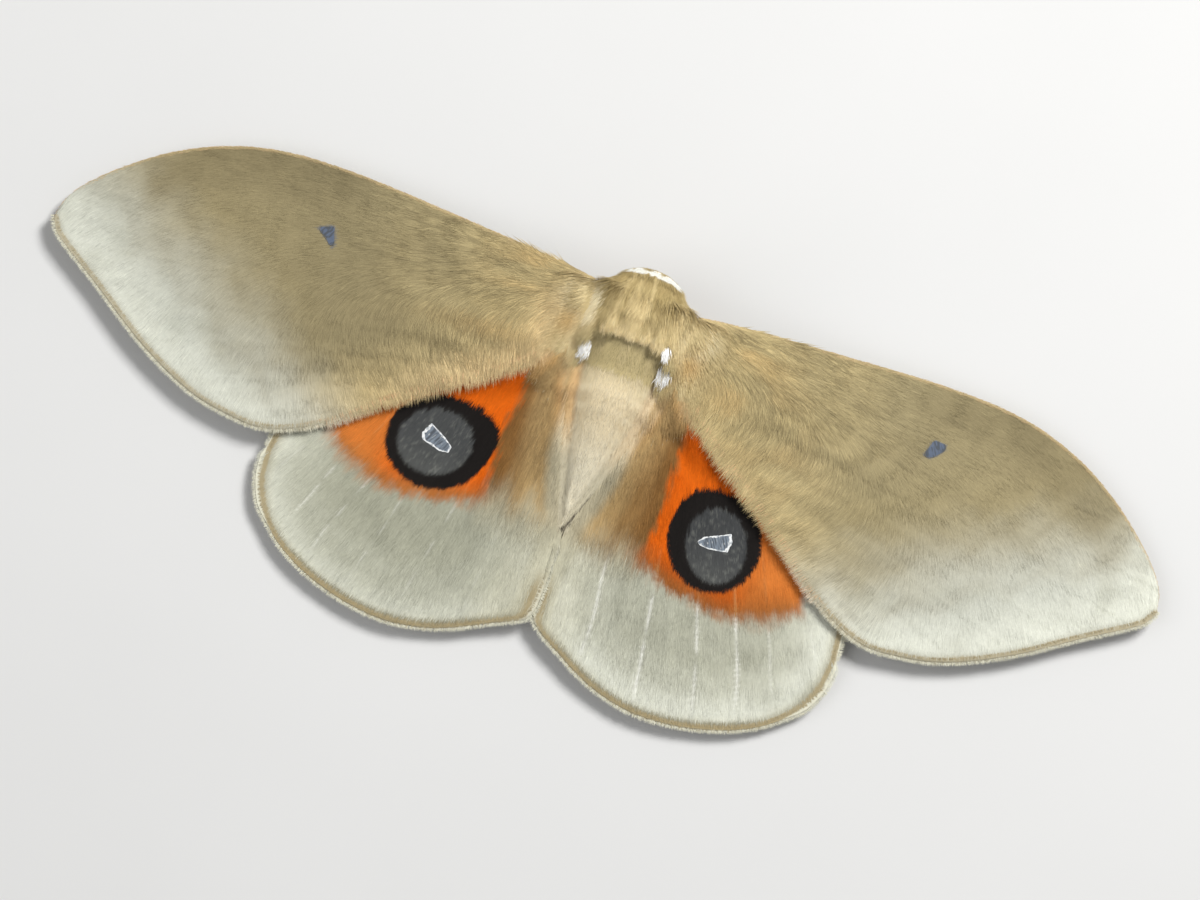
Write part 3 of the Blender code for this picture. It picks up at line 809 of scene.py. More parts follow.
def scatter(grid, count, density, rng):
    """Evenly spread spots on a wing's grid, as interpolated rows of what the grid holds."""
    p = grid["points"]
    area = np.linalg.norm(np.cross(p[1:, :-1] - p[:-1, :-1], p[:-1, 1:] - p[:-1, :-1]), axis=-1)
    middle = 0.25 * (density[1:, 1:] + density[1:, :-1] + density[:-1, 1:] + density[:-1, :-1])
    weight = np.cumsum((area * middle).ravel())
    count = int(count * COAT_SHARE)
    pick = np.searchsorted(weight, (np.arange(count) + rng.random(count)) / count * weight[-1])
    i, j = np.divmod(np.minimum(pick, weight.size - 1), area.shape[1])
    u, v = rng.random(count), rng.random(count)
    spots = {"kind": grid["kind"], "side": grid["side"], "seed": grid["seed"]}
    for key in ("points", "normals", "lie", "x", "y", "rear", "front"):
        rows = grid[key]
        a = u[:, None] if rows.ndim == 3 else u
        b = v[:, None] if rows.ndim == 3 else v
        spots[key] = ((rows[i, j] * (1 - b) + rows[i, j + 1] * b) * (1 - a)
                      + (rows[i + 1, j] * (1 - b) + rows[i + 1, j + 1] * b) * a)
    return spots


# The coat on each face of a wing: how many tufts, how long and how wide they are, and their contrast.
WING_COAT = {("forewing", True): (47500, 1.15, 0.08, 1.1), ("forewing", False): (7500, 1.2, 0.13, 1.0),
             ("hindwing", True): (42000, 1.15, 0.08, 1.1), ("hindwing", False): (6500, 1.2, 0.13, 1.0)}


def hair_length(spots):
    """Long and silky near the body, short at the margin and on the eye spot."""
    x, y, rear = spots["x"], spots["y"], spots["rear"]
    if spots["kind"] == "forewing":
        length = 0.85 + 1.25 * ease((46 - x) / 34.0)
        length = length + 0.35 * ease((5 - rear) / 4.0) * ease((30 - x) / 8.0)
    else:
        length = 0.85 + 0.9 * ease((11.5 - x) / 4) * ease((y + 27) / 8)
        ring, _, _ = eye_parts(x, y, spots["side"])
        length = length - 0.28 * ease((ring + 0.5) / 1.0)
    return length * (0.55 + 0.45 * ease((rear - 0.8) / 1.2))


def make_wing_coat(grid, upper, material, rng):
    """The scales and hair on one face of a wing."""
    kind, side = grid["kind"], grid["side"]
    count, size, thin, tone = WING_COAT[kind, upper]
    density = np.ones(grid["x"].shape)
    if kind == "hindwing":
        ring, _, window = eye_parts(grid["x"], grid["y"], side)
        covered = forewing_cover(grid)
        density = density * (1 + 1.6 * ease((ring + 1.2) / 0.6)) if upper else density
        _, _, ahead = eye_parts(grid["x"] + 0.12, grid["y"] - 0.45, side)
        density = density * ((1 - 0.97 * covered) if upper else 1) * (window < -0.1) * (ahead < 0.0)
    elif upper:
        spot = DISCAL_SPOTS[side]
        density = density * (polygon_depth(grid["x"], grid["y"], spot) < -0.1)
        density = density * (polygon_depth(grid["x"] + 0.5, grid["y"] - 0.35, spot) < 0)
    else:
        density = density * (1 - 0.97 * hindwing_cover(grid))
    density = density * ease((grid["rear"] - 0.35) / 0.3)
    spots = scatter(grid, count, density, rng)
    n = len(spots["x"])
    face = 1 if upper else -1
    normals = spots["normals"] * face
    basal = ease((34 - spots["x"]) / 14) * (kind == "forewing")
    loose = 0.35 + 0.65 * ease((34 - spots["x"]) / 20) * (kind == "forewing") + 0.35 * basal
    turn = loose * (0.22 * noise(spots["x"] / 3.0, spots["y"] / 3.0, grid["seed"] + 50)
                    + 0.16 * noise(spots["x"] / 0.9, spots["y"] / 0.9, grid["seed"] + 51)
                    + rng.normal(0, 0.10, n))
    lie = spots["lie"]
    plan = np.stack([lie[:, 0] * np.cos(turn) - lie[:, 1] * np.sin(turn),
                     lie[:, 0] * np.sin(turn) + lie[:, 1] * np.cos(turn), np.zeros(n)], axis=1)
    along = tangent(plan, normals)
    length = hair_length(spots) * size * rng.uniform(0.75, 1.25, n)
    if not upper:
        length = length * 0.8
    width = thin * rng.uniform(0.8, 1.25, n) * (0.85 + 0.25 * length)
    outward = 0.35 * length
    middle = {**spots, "x": spots["x"] + outward * plan[:, 0], "y": spots["y"] + outward * plan[:, 1],
              "rear": spots["rear"] - outward * ease((3.2 - spots["rear"]) / 1.5)}
    colour = wing_colour(middle, upper)
    if kind == "hindwing":
        across, down = hind_bearing(spots["x"], spots["y"]) * 45, spots["y"]
    else:
        across, down = hair_frame(spots["x"], spots["y"])
    # Streaks of brightness along the hair: partly the hair's own tone, and near the body partly painted
    # sheen in the pale wavy arcs of combed clumps.
    sway = 0.5 * basal * noise(down / 3.0, across / 5.0, grid["seed"] + 63)
    clump = ease(3 * noise((across + sway) / 0.55, down / 3.2, grid["seed"] + 64) - 0.6)
    streak = (noise(across / 0.3, down / 2.4, grid["seed"] + 60)
              + 0.8 * noise((across + sway) / 0.8, down / 5, grid["seed"] + 61)
              + 0.7 * basal * noise(across / 1.5, down / 4, grid["seed"] + 62)
              + basal * (1.1 * clump - 0.3))
    bright = 1 + tone * (1 + 0.6 * basal) * (0.075 * streak + rng.normal(0, 0.085, n))
    colour = np.clip(colour * bright[:, None], 0, 1)
    lift = rng.uniform(0.02, 0.09, n) + 0.05 * ease((30 - spots["x"]) / 20)
    roots = spots["points"] + normals * (MEMBRANE_HALF - 0.015)
    name = f"{kind}_{'upper' if upper else 'under'}_coat_{side}_0"
    tuft_piece(name, roots, along, normals, length, width, lift, rng.normal(0, 0.06, n), lift * 0.55, colour,
               wing_map(spots["points"]), kind + "_coat", material, curved=False, ridge=0.4,
               mirror=1 if side == "r" else -1)


def forewing_cover(grid):
    """1 where the forewing hides the hindwing, by more than its edge hair could show."""
    x, y = turned(grid["points"][..., 0], grid["points"][..., 1], -FOREWING_SWEEP[grid["side"]])
    return ease((y - np.interp(x, *TRAIL.T) - 1.2) / 0.6) * (x < 40)


def hindwing_cover(grid):
    """1 where the hindwing hides the forewing's underside."""
    corners = [*smooth_path(HINDWING_FRONT, 40), (30.0, -26.0), (10.0, -20.0)]
    return ease(polygon_depth(grid["points"][..., 0], grid["points"][..., 1], corners) / 0.8 - 1.5)


FRINGE_DENSITY = 15         # tufts to the millimetre, for each row
HIND_FRINGE_FROM = -23.0    # y where the hindwing's fringe begins, behind the abdomen
# Rows of the fringe: how far in from the membrane's edge, length, share of the tufts and colour.
FRINGE_ROWS = ((0.0, 0.52, 1.1, FRINGE_CREAM), (0.12, 0.50, 1.0, FRINGE_CREAM),
               (0.33, 0.33, 1.0, MARGIN_TAN), (0.58, 0.38, 1.0, MARGIN_OCHRE))


def edge_chain(grid):
    """The wing's edge from the root along its rear, round the tip and back along its front, as rows of
    points, plan places and hair directions, and how far on the front begins."""
    parts = []
    for key in ("points", "x", "y", "lie"):
        rows = grid[key]
        parts.append(np.concatenate([rows[:, -1], rows[-1, -2:0:-1], rows[::-1, 0]]))
    return parts, grid["x"].shape[0] + grid["x"].shape[1] - 2


def make_fringe(grid, material, rng):
    """Hair on the wing's edge: a cream fringe with a tan row over its roots along the outer margin, short
    ochre hair that lies along the forewing's leading edge, and soft loose hair near the body."""
    kind, side = grid["kind"], grid["side"]
    (edge, px_row, py_row, lie_row), front_from = edge_chain(grid)
    run = unit(np.gradient(edge, axis=0))
    weight = along_line(edge)
    begin = 5.2 if kind == "forewing" else weight[py_row < HIND_FRINGE_FROM][0]
    end = weight[-1] if kind == "forewing" else weight[front_from:][py_row[front_from:] > -16.0][0]
    parts = []
    for inset, reach, dense, tint in FRINGE_ROWS:
        n = int((end - begin) * FRINGE_DENSITY * dense * COAT_SHARE)
        at = begin + (np.arange(n) + rng.random(n)) / n * (end - begin)
        place, along_edge = rows_at(at, weight, edge), rows_at(at, weight, run)
        lie = np.column_stack([rows_at(at, weight, lie_row), np.zeros(n)])
        px, py = np.interp(at, weight, px_row), np.interp(at, weight, py_row)
        on_front = at > weight[front_from]
        costa = on_front & (kind == "forewing")
        bands = np.where(costa, 0.0, margin_share(kind, px, py, on_front))
        outward = np.stack([along_edge[:, 1], -along_edge[:, 0], np.zeros(n)], axis=1)
        lean = rng.normal(0.12, 0.2, n)[:, None]
        stiff = unit(outward + lean * along_edge)
        loose = unit(lie + 0.25 * outward + rng.normal(0, 0.12, (n, 3)) * (1, 1, 0.3))
        pressed = unit(-along_edge + 0.10 * outward + rng.normal(0, 0.05, (n, 3)) * (1, 1, 0.5))
        along = unit(mix(loose, stiff, bands))
        along[costa] = pressed[costa]
        wanted = hair_length({"kind": kind, "side": side, "x": px, "y": py, "rear": np.full(n, 2.0)})
        length = np.where(bands > 0.5, reach, np.minimum(wanted, 1.6) * 0.7)
        length = np.where(costa, 0.6, length) * rng.uniform(0.75, 1.2, n)
        inside = {"x": px, "y": py, "rear": np.full(n, 2.2), "front": np.full(n, 9.0)}
        colour = layered(
            wing_colour({**grid, **inside}, True),
            (WHITE, 0.30 * (inset < 0.2) * rng.random(n)),
            (TRAIL_TIP, 0.85 * (kind == "forewing") * rng.random(n)),
            (mix(FRINGE_CREAM, tint, BAND_STRENGTH[kind, side]), bands),
            (COSTA_OCHRE, 0.6 * costa))
        depth = inset * np.where(costa, 0.4, 1.0) + rng.uniform(-0.06, 0.06, n)
        roots = place - outward * depth[:, None]
        roots[:, 2] += rng.uniform(-MEMBRANE_HALF, MEMBRANE_HALF, n) + 0.08 * (inset > 0.5)
        up = np.tile((0.0, 0.0, 1.0), (n, 1))
        lift = rng.uniform(-0.05, 0.08, n)
        width = rng.uniform(0.05, 0.085, n) * (0.65 + 0.35 * bands)
        parts.append((roots, along, up, length, width, lift, rng.normal(0, 0.08, n),
                      np.full(n, 0.03), colour * (1 + rng.normal(0, 0.06, n))[:, None]))
    columns = [np.concatenate(column) for column in zip(*parts)]
    tuft_piece(f"{kind}_fringe_{side}", *columns, wing_map(columns[0]), kind + "_coat", material,
               mirror=1 if side == "r" else -1)


def margin_share(kind, x, y, on_front):
    """1 where the wing's edge is the true outer margin, with its bands, and 0 where it is loose hair."""
    if kind == "forewing":
        return ease((x - 26) / 8)
    return np.where(on_front, ease((-16.5 - y) / 2), ease((-25 - y) / 4))


PATCH_SIDES = 150
PATCH_RINGS = 34
PATCH_RISE = 0.05          # how far the bare patches stand over the wing's skin
PATCH_DEPTH = 0.12


def make_patch(grid, name, outline, paint, material):
    """A small bare spot on the wing, drawn finely: a shallow, closed disc inside the given outline."""
    closed = np.array([*outline, outline[0]])
    fine = np.concatenate([a + (b - a) * np.linspace(0, 1, 60, endpoint=False)[:, None]
                           for a, b in zip(closed[:-1], closed[1:])])
    centre = fine.mean(axis=0)
    turn = np.arctan2(*(fine - centre).T[::-1])
    order = np.argsort(turn)
    angles = np.linspace(-math.pi, math.pi, PATCH_SIDES, endpoint=False)
    reach = np.interp(angles, turn[order], np.linalg.norm(fine - centre, axis=1)[order], period=2 * math.pi)
    if grid["kind"] == "forewing":
        reach = np.mean([np.roll(reach, k) for k in range(-7, 8)], axis=0)
    reach = reach * (1 + 0.035 * noise(angles * 9, 0 * angles, grid["seed"] + 30))
    share = np.linspace(1, 0.02, PATCH_RINGS)
    ray = np.stack([np.cos(angles), np.sin(angles)], axis=1) * reach[:, None]
    plan = centre + share[:, None, None] * ray[None]
    x, y = plan[..., 0], plan[..., 1]
    near = np.hypot(grid["x"] - centre[0], grid["y"] - centre[1]) < 3.0

    def basis(px, py):
        dx, dy = px - centre[0], py - centre[1]
        return np.stack([0 * dx + 1, dx, dy, dx * dx, dx * dy, dy * dy], axis=-1)

    fit = np.linalg.lstsq(basis(grid["x"][near], grid["y"][near]), grid["points"][near], rcond=None)[0]
    top = basis(x, y) @ fit + (0, 0, MEMBRANE_HALF + PATCH_RISE)
    rings = np.concatenate([top[:1] - (0, 0, PATCH_DEPTH), top])
    points, quads, fans = loft(rings)
    depth = np.concatenate([np.zeros((1, PATCH_SIDES)), (1 - share)[:, None] * reach[None]]).ravel()
    places = np.concatenate([plan[:1], plan]).reshape(-1, 2)
    colours = paint(places[:, 0], places[:, 1], depth, grid["seed"])
    colours = np.vstack([colours, colours[:1], colours[-1:]])
    if grid["side"] == "l":
        points, quads, fans = mirrored((points, quads, fans))
    new_piece(name, points, [quads, fans], colours, material)


def window_paint(x, y, depth, seed):
    """A ragged white rim round a clear, bluish pane with fine lines."""
    rim_width = 0.20 + 0.16 * ease((x - 17.2) / 1.2) + 0.10 * noise(x / 0.3, y / 0.3, seed + 32)
    lines = noise((x + 0.6 * y) / 0.09, (0.6 * x - y) / 0.9, seed + 33)
    glints = noise((x + 0.6 * y) / 0.16, (0.6 * x - y) / 0.5, seed + 34)
    gap = ease(1.2 + 1.8 * noise(x / 0.25, y / 0.25, seed + 35))
    return layered(
        WINDOW_BLUE,
        (WINDOW_DEEP, ease(0.4 + 0.9 * lines)),
        (WHITE, 0.5 * ease(glints * 2 - 1)),
        (WINDOW_RIM, ease((rim_width - depth) / 0.06) * (0.35 + 0.65 * gap)))


def discal_paint(x, y, depth, seed):
    """A dark slate pane with a faint grain."""
    lines = noise((x + 0.6 * y) / 0.15, (0.6 * x - y) / 0.6, seed + 36)
    return layered(
        DISCAL_BLUE,
        (WINDOW_DEEP, ease(0.3 + 1.3 * lines)),
        (OLIVE_DARK, 0.6 * ease((0.12 - depth) / 0.1)))


def make_wings(coat, skin, pane):
    for kind in WING_EDGES:
        for side, _ in SIDES:
            rng = np.random.default_rng(100 + (kind == "hindwing") * 10 + (side == "l"))
            grid = wing_grid(kind, side)
            make_membrane(grid, skin)
            for upper in (True, False):
                make_wing_coat(grid, upper, coat, rng)
            make_fringe(grid, coat, rng)
            if kind == "hindwing":
                make_patch(grid, f"eye_window_{side}", WINDOWS[side], window_paint, pane)
            else:
                make_patch(grid, f"discal_pane_{side}", DISCAL_SPOTS[side], discal_paint, pane)


# ---------------------------------------------------------------- body skin

# Stations of the trunk's solids, each with its y, half width, lowest and highest point.
COLLAR = [(9.8, 1.6, 6.7, 8.2), (9.6, 3.1, 6.1, 9.0), (9.3, 4.0, 5.9, 9.6), (8.9, 4.5, 5.9, 9.8)]
THORAX = [(8.5, 5.1, 6.2, 9.9), (7.4, 5.75, 5.85, 10.6), (5.8, 5.9, 4.3, 11.1), (4.5, 5.95, 2.8, 11.3),
          (1.5, 5.9, 2.3, 11.2), (-1.0, 5.4, 2.3, 10.3)]
ABDOMEN = [(-3.3, 4.4, 2.4, 9.1), (-6.5, 4.1, 1.7, 8.6), (-10.0, 3.25, 1.4, 7.5), (-14.0, 2.2, 1.4, 6.1),
           (-17.5, 1.25, 1.5, 4.6), (-20.6, 0.35, 1.9, 3.0)]
TRUNK_RINGS = 150
TRUNK_SIDES = 48
FRONT_BEND = 0.06
FRONT_BEND_Y = 3.0
FRONT_BEND_FADE = 5.0
HEAD_CENTRE = (0.0, 8.0, 3.5)
HEAD_RADII = (2.35, 1.75, 2.05)
EYE_RADIUS = 1.0
EYE_CENTRE = (2.15, 8.35, 3.5)
EYE_SIDES = 64
# How many tufts each part of the body gets, and how far the skin lies under the coat's outside.
TUFTS = {"thorax": 25000, "shoulder": 10500, "side": 14500, "abdomen": 18500, "collar": 2600, "head": 8500,
         "rear_edge": 1500, "antenna": 1100, "leg": 900, "palp": 260}
COAT_DEPTH = {"collar": 0.4, "thorax": 0.6, "abdomen": 0.35, "head": 0.25}
METATHORAX_Y = 2.2          # behind here the fur is shorter and the skin sits lower
METATHORAX_STEP = 0.55
SEGMENTS_FROM = -4.0        # the abdomen's rings, as the first one's place and their spacing
SEGMENT_LENGTH = 2.35
SKIN_VOXEL = 0.2
SKIN_SOFTENING = 6          # rounds of smoothing
SKIN_SHADE = 0.8            # how much darker the body's skin is than the hair over it
# Soft lumps that join the parts: where each is and its radii. Those off the middle come in pairs.
LUMPS = [((0.0, 6.9, 4.5), (1.9, 1.9, 1.9)), ((0.0, 9.1, 2.7), (0.95, 0.6, 1.0)),
         ((1.6, 4.7, 2.7), (0.8, 0.9, 1.3)), ((1.8, 1.4, 2.3), (0.8, 0.9, 1.2)),
         ((1.6, -1.5, 2.4), (0.8, 0.9, 1.2))]
# The mantle: the skin that spans from the trunk over the wing roots and down the abdomen's sides.
MANTLE_FRONT_Y = 7.2
MANTLE_REAR_Y = -21.8
MANTLE_REACH = 10.9         # how far out the mantle reaches beside the wing roots
MANTLE_BLEND = 0.70         # how softly it turns from the trunk to the wings
MANTLE_THICKNESS = 1.3
MANTLE_STEPS = (110, 36)
# The forewing's rear edge near its root, carried on into the body.
ROOT_EDGE = np.array([(4.0, 1.9), (5.4, 1.3), *FOREWING_REAR[:5]])
TEGULA_PLACE = (7.0, 4.0)
TEGULA_RISE = 0.45


def loft(rings):
    """A closed surface through rings of points, with a fan at both ends."""
    count, sides = rings.shape[:2]
    points = np.vstack([rings.reshape(-1, 3), rings[0].mean(0), rings[-1].mean(0)])
    i, j = np.meshgrid(np.arange(count - 1) * sides, np.arange(sides), indexing="ij")
    k = (j + 1) % sides
    quads = np.stack([i + j, i + k, i + k + sides, i + j + sides], axis=-1).reshape(-1, 4)
    j, k = j[0], k[0]
    last = (count - 1) * sides
    fans = np.concatenate([np.stack([k, j, np.full(sides, count * sides)], axis=1),
                           np.stack([last + j, last + k, np.full(sides, count * sides + 1)], axis=1)])
    return points, quads, fans


def tube(path, radii, sides):
    """A round tube along a path, closed at both ends."""
    path, radii = np.asarray(path, float), np.asarray(radii, float)
    along = unit(np.gradient(path, axis=0))
    aside = unit(np.cross(along, (0.05, 0.1, 1.0)))
    above = np.cross(aside, along)
    turn = np.arange(sides) * 2 * math.pi / sides
    rings = (path[:, None] + radii[:, None, None] * (aside[:, None] * np.cos(turn)[None, :, None]
                                                     + above[:, None] * np.sin(turn)[None, :, None]))
    return loft(rings)


def blob(centre, radii, sides=24):
    """A closed ellipsoid."""
    around = np.linspace(0, math.pi, sides // 2 + 1)[1:-1]
    turn = np.arange(sides) * 2 * math.pi / sides
    rings = np.stack([np.outer(np.sin(around), np.cos(turn)) * radii[0],
                      np.outer(np.cos(around), np.ones(sides)) * radii[1],
                      np.outer(np.sin(around), np.sin(turn)) * radii[2]], axis=-1)
    return loft(rings + np.asarray(centre))


def joined(parts):
    """Several lofts as one list of points and groups of faces."""
    points, groups, start = [], [[], []], 0
    for part_points, quads, fans in parts:
        points.append(part_points)
        groups[0].append(quads + start)
        groups[1].append(fans + start)
        start += len(part_points)
    return np.vstack(points), [np.vstack(groups[0]), np.vstack(groups[1])]


def mirrored(part):
    points, quads, fans = part
    return points * (-1, 1, 1), quads[:, ::-1], fans[:, ::-1]


def trunk_rings():
    """Stations of the trunk's skin: y, half width, middle height and half height."""
    parts = (("collar", COLLAR), ("thorax", THORAX), ("abdomen", ABDOMEN))
    stations = [(*station, COAT_DEPTH[name]) for name, rows in parts for station in rows]
    y, half, low, high, depth = smooth_path(stations, TRUNK_RINGS).T
    high = high - METATHORAX_STEP * ease((METATHORAX_Y - y) / 0.7) * ease((y + 5.0) / 3.5)
    wave = np.abs(np.sin((SEGMENTS_FROM - y) / SEGMENT_LENGTH * math.pi))
    ring = np.where(y < SEGMENTS_FROM, wave ** 0.35, 1)
    half = np.maximum(half - depth, 0.12) * (0.97 + 0.03 * ring)
    tall = np.maximum((high - low) / 2 - depth, 0.12) * (0.97 + 0.03 * ring)
    return y, half, (high + low) / 2, tall


def trunk_part():
    """Collar, thorax and abdomen as one loft, in from the coat's outside by the coat's depth."""
    y, half, middle, tall = trunk_rings()
    turn = np.arange(TRUNK_SIDES) * 2 * math.pi / TRUNK_SIDES
    x = half[:, None] * np.cos(turn)
    z = middle[:, None] + tall[:, None] * np.sin(turn)
    bend = FRONT_BEND * ease((y - FRONT_BEND_Y) / FRONT_BEND_FADE)
    return loft(np.stack([x, y[:, None] - bend[:, None] * x ** 2, z], axis=-1))


def trunk_at(y):
    """Half width, middle height and half height of the trunk's skin at places along it."""
    known, *columns = (rows[::-1] for rows in trunk_rings())
    return [np.interp(y, known, rows) for rows in columns]


def wing_top(x, y):
    """Height of the upper face of the forewing near its root, or of the hindwing behind it."""
    behind = ease((np.interp(x, *ROOT_EDGE.T) + 0.7 - y) / 2.2)
    return forewing_height(x, y, 0.5) * (1 - behind) + hindwing_top(x, y) * behind


def mantle_part():
    """A slab whose top follows the trunk and the wings, blended, and dips into them at its outer edge."""
    y = np.linspace(MANTLE_FRONT_Y, MANTLE_REAR_Y, MANTLE_STEPS[0])[:, None] * np.ones(MANTLE_STEPS[1])
    share = np.linspace(0, 1, MANTLE_STEPS[1])[None, :] * np.ones(y.shape)
    half, middle, tall = trunk_at(y)
    beside = inner_margin(y) + 1.3
    at_root = ease((y + 8.5) / 5.0)
    outer = beside + (MANTLE_REACH - beside) * at_root
    inner = 0.45 * half - 0.2 * ease((-17.5 - y) / 1.5)
    x = inner + (outer - inner) * share
    shift = ease((x - 4.8) / 1.2) * (1 - 0.25 * ease((x - 7) / 3)) * ease((y - 4) / 3)
    y = y - 0.75 * shift
    trunk = middle + tall * np.sqrt(np.clip(1 - (x / half) ** 2, 0, 1)) - 6.0 * (x / half - 1).clip(0, 9)
    dip = (ease((x - (outer - 2.6)) / 2.6) * at_root
           + ease((x - (outer - 1.5)) / 1.5) * (1 - at_root))
    wing = wing_top(x, y) + 0.12 - 0.75 * dip
    wing = wing + TEGULA_RISE * bump(x, TEGULA_PLACE[0], 1.7) * bump(y, TEGULA_PLACE[1], 2.4)
    top = MANTLE_BLEND * np.logaddexp(trunk / MANTLE_BLEND, wing / MANTLE_BLEND)
    points = np.stack([x, y, top], axis=-1).reshape(-1, 3)
    faces, _ = slab_faces(*MANTLE_STEPS)
    thick = (MANTLE_THICKNESS * (1 - 0.6 * dip)).reshape(-1, 1)
    return np.vstack([points, points - thick * (0, 0, 1)]), faces[:, ::-1], np.zeros((0, 3), int)


def merged_skin(parts):
    """Overlapping closed parts merged into one smooth skin of quads."""
    points, faces = joined(parts)
    mesh = bpy.data.meshes.new("parts")
    mesh.from_pydata(points.tolist(), [], [face for group in faces for face in group.tolist()])
    made = bpy.data.objects.new("parts", mesh)
    bpy.context.scene.collection.objects.link(made)
    merge = made.modifiers.new("merge", "REMESH")
    merge.mode = "VOXEL"
    merge.voxel_size = SKIN_VOXEL
    soften = made.modifiers.new("soften", "SMOOTH")
    soften.factor = 0.5
    soften.iterations = SKIN_SOFTENING
    whole = bpy.data.meshes.new_from_object(made.evaluated_get(bpy.context.evaluated_depsgraph_get()))
    skin_points = np.zeros(len(whole.vertices) * 3, np.float32)
    whole.vertices.foreach_get("co", skin_points)
    corners = np.zeros(len(whole.loops), np.int32)
    whole.loops.foreach_get("vertex_index", corners)
    bpy.data.objects.remove(made)
    return skin_points.reshape(-1, 3).astype(float), [corners.reshape(-1, 4)]


def unwrap(made):
    """A bake map on the piece's own shape, cut where it turns sharply."""
    made.data.uv_layers.new(name="OFBake")
    for other in bpy.context.selected_objects:
        other.select_set(False)
    bpy.context.view_layer.objects.active = made
    made.select_set(True)
    bpy.ops.object.mode_set(mode="EDIT")
    bpy.ops.mesh.select_all(action="SELECT")
    bpy.ops.uv.smart_project(angle_limit=math.radians(62), island_margin=0.004)
    bpy.ops.object.mode_set(mode="OBJECT")
    made.select_set(False)


def skin_piece(name, points, faces, colours, material, replaced):
    """A skin with its bake map. Returns what its coat needs: triangles, normals, map places and a tree."""
    made = new_piece(name, points, faces, colours, material)
    unwrap(made)
    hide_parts(*replaced)
    mesh = made.data
    mesh.calc_loop_triangles()
    loops = np.zeros(len(mesh.loop_triangles) * 3, np.int32)
    mesh.loop_triangles.foreach_get("loops", loops)
    vertex = np.zeros(len(mesh.loops), np.int32)
    mesh.loops.foreach_get("vertex_index", vertex)
    spots = np.zeros(len(mesh.loops) * 2, np.float32)
    mesh.uv_layers["OFBake"].uv.foreach_get("vector", spots)
    normals = np.zeros(len(mesh.vertices) * 3, np.float32)
    mesh.vertices.foreach_get("normal", normals)
    corners = np.asarray(points)[vertex[loops]]
    triangles = np.arange(len(corners)).reshape(-1, 3).tolist()
    tree = BVHTree.FromPolygons([Vector(p) for p in corners], triangles)
    return {"tree": tree, "points": corners.reshape(-1, 3, 3),
            "normals": normals.reshape(-1, 3)[vertex[loops]].reshape(-1, 3, 3).astype(float),
            "at": spots.reshape(-1, 2)[loops].reshape(-1, 3, 2).astype(float)}


def spread(skin, count, weight, rng, above=-2.0):
    """Points spread over a skin, as many to the area as weight says, with their normals and bake map places.
    Only faces whose normals have a height of more than above take part."""
    a, b, c = skin["points"][:, 0], skin["points"][:, 1], skin["points"][:, 2]
    area = np.linalg.norm(np.cross(b - a, c - a), axis=1) * np.clip(weight((a + b + c) / 3), 0, None)
    area = area * (skin["normals"][:, :, 2].mean(axis=1) > above)
    total = np.cumsum(area)
    count = int(count * COAT_SHARE)
    pick = np.searchsorted(total, (np.arange(count) + rng.random(count)) / count * total[-1])
    pick = np.minimum(pick, len(area) - 1)
    u, v = rng.random(count), rng.random(count)
    over = u + v > 1
    u[over], v[over] = 1 - u[over], 1 - v[over]
    share = np.stack([1 - u - v, u, v], axis=1)[:, :, None]
    return tuple((skin[key][pick] * share).sum(axis=1) for key in ("points", "normals", "at"))


def below_wings(points):
    """1 on the underside of the skin where it spans from the trunk to the wings."""
    x, y, z = np.abs(points[:, 0]), points[:, 1], points[:, 2]
    aside = ease((x - trunk_at(y)[0] + 0.1) / 0.7) * ease((7.8 - y) / 0.5)
    return aside * ease((wing_top(x, y) - 0.75 - z) / 0.35)


def chest_share(x, y, z, top):
    """1 on the front face under the collar's white band."""
    ahead = ease((y + FRONT_BEND * x ** 2 - 8.95) / 0.35) * ease((5.2 - np.abs(x)) / 0.5)
    return ahead * ease((top - z) / 0.5)


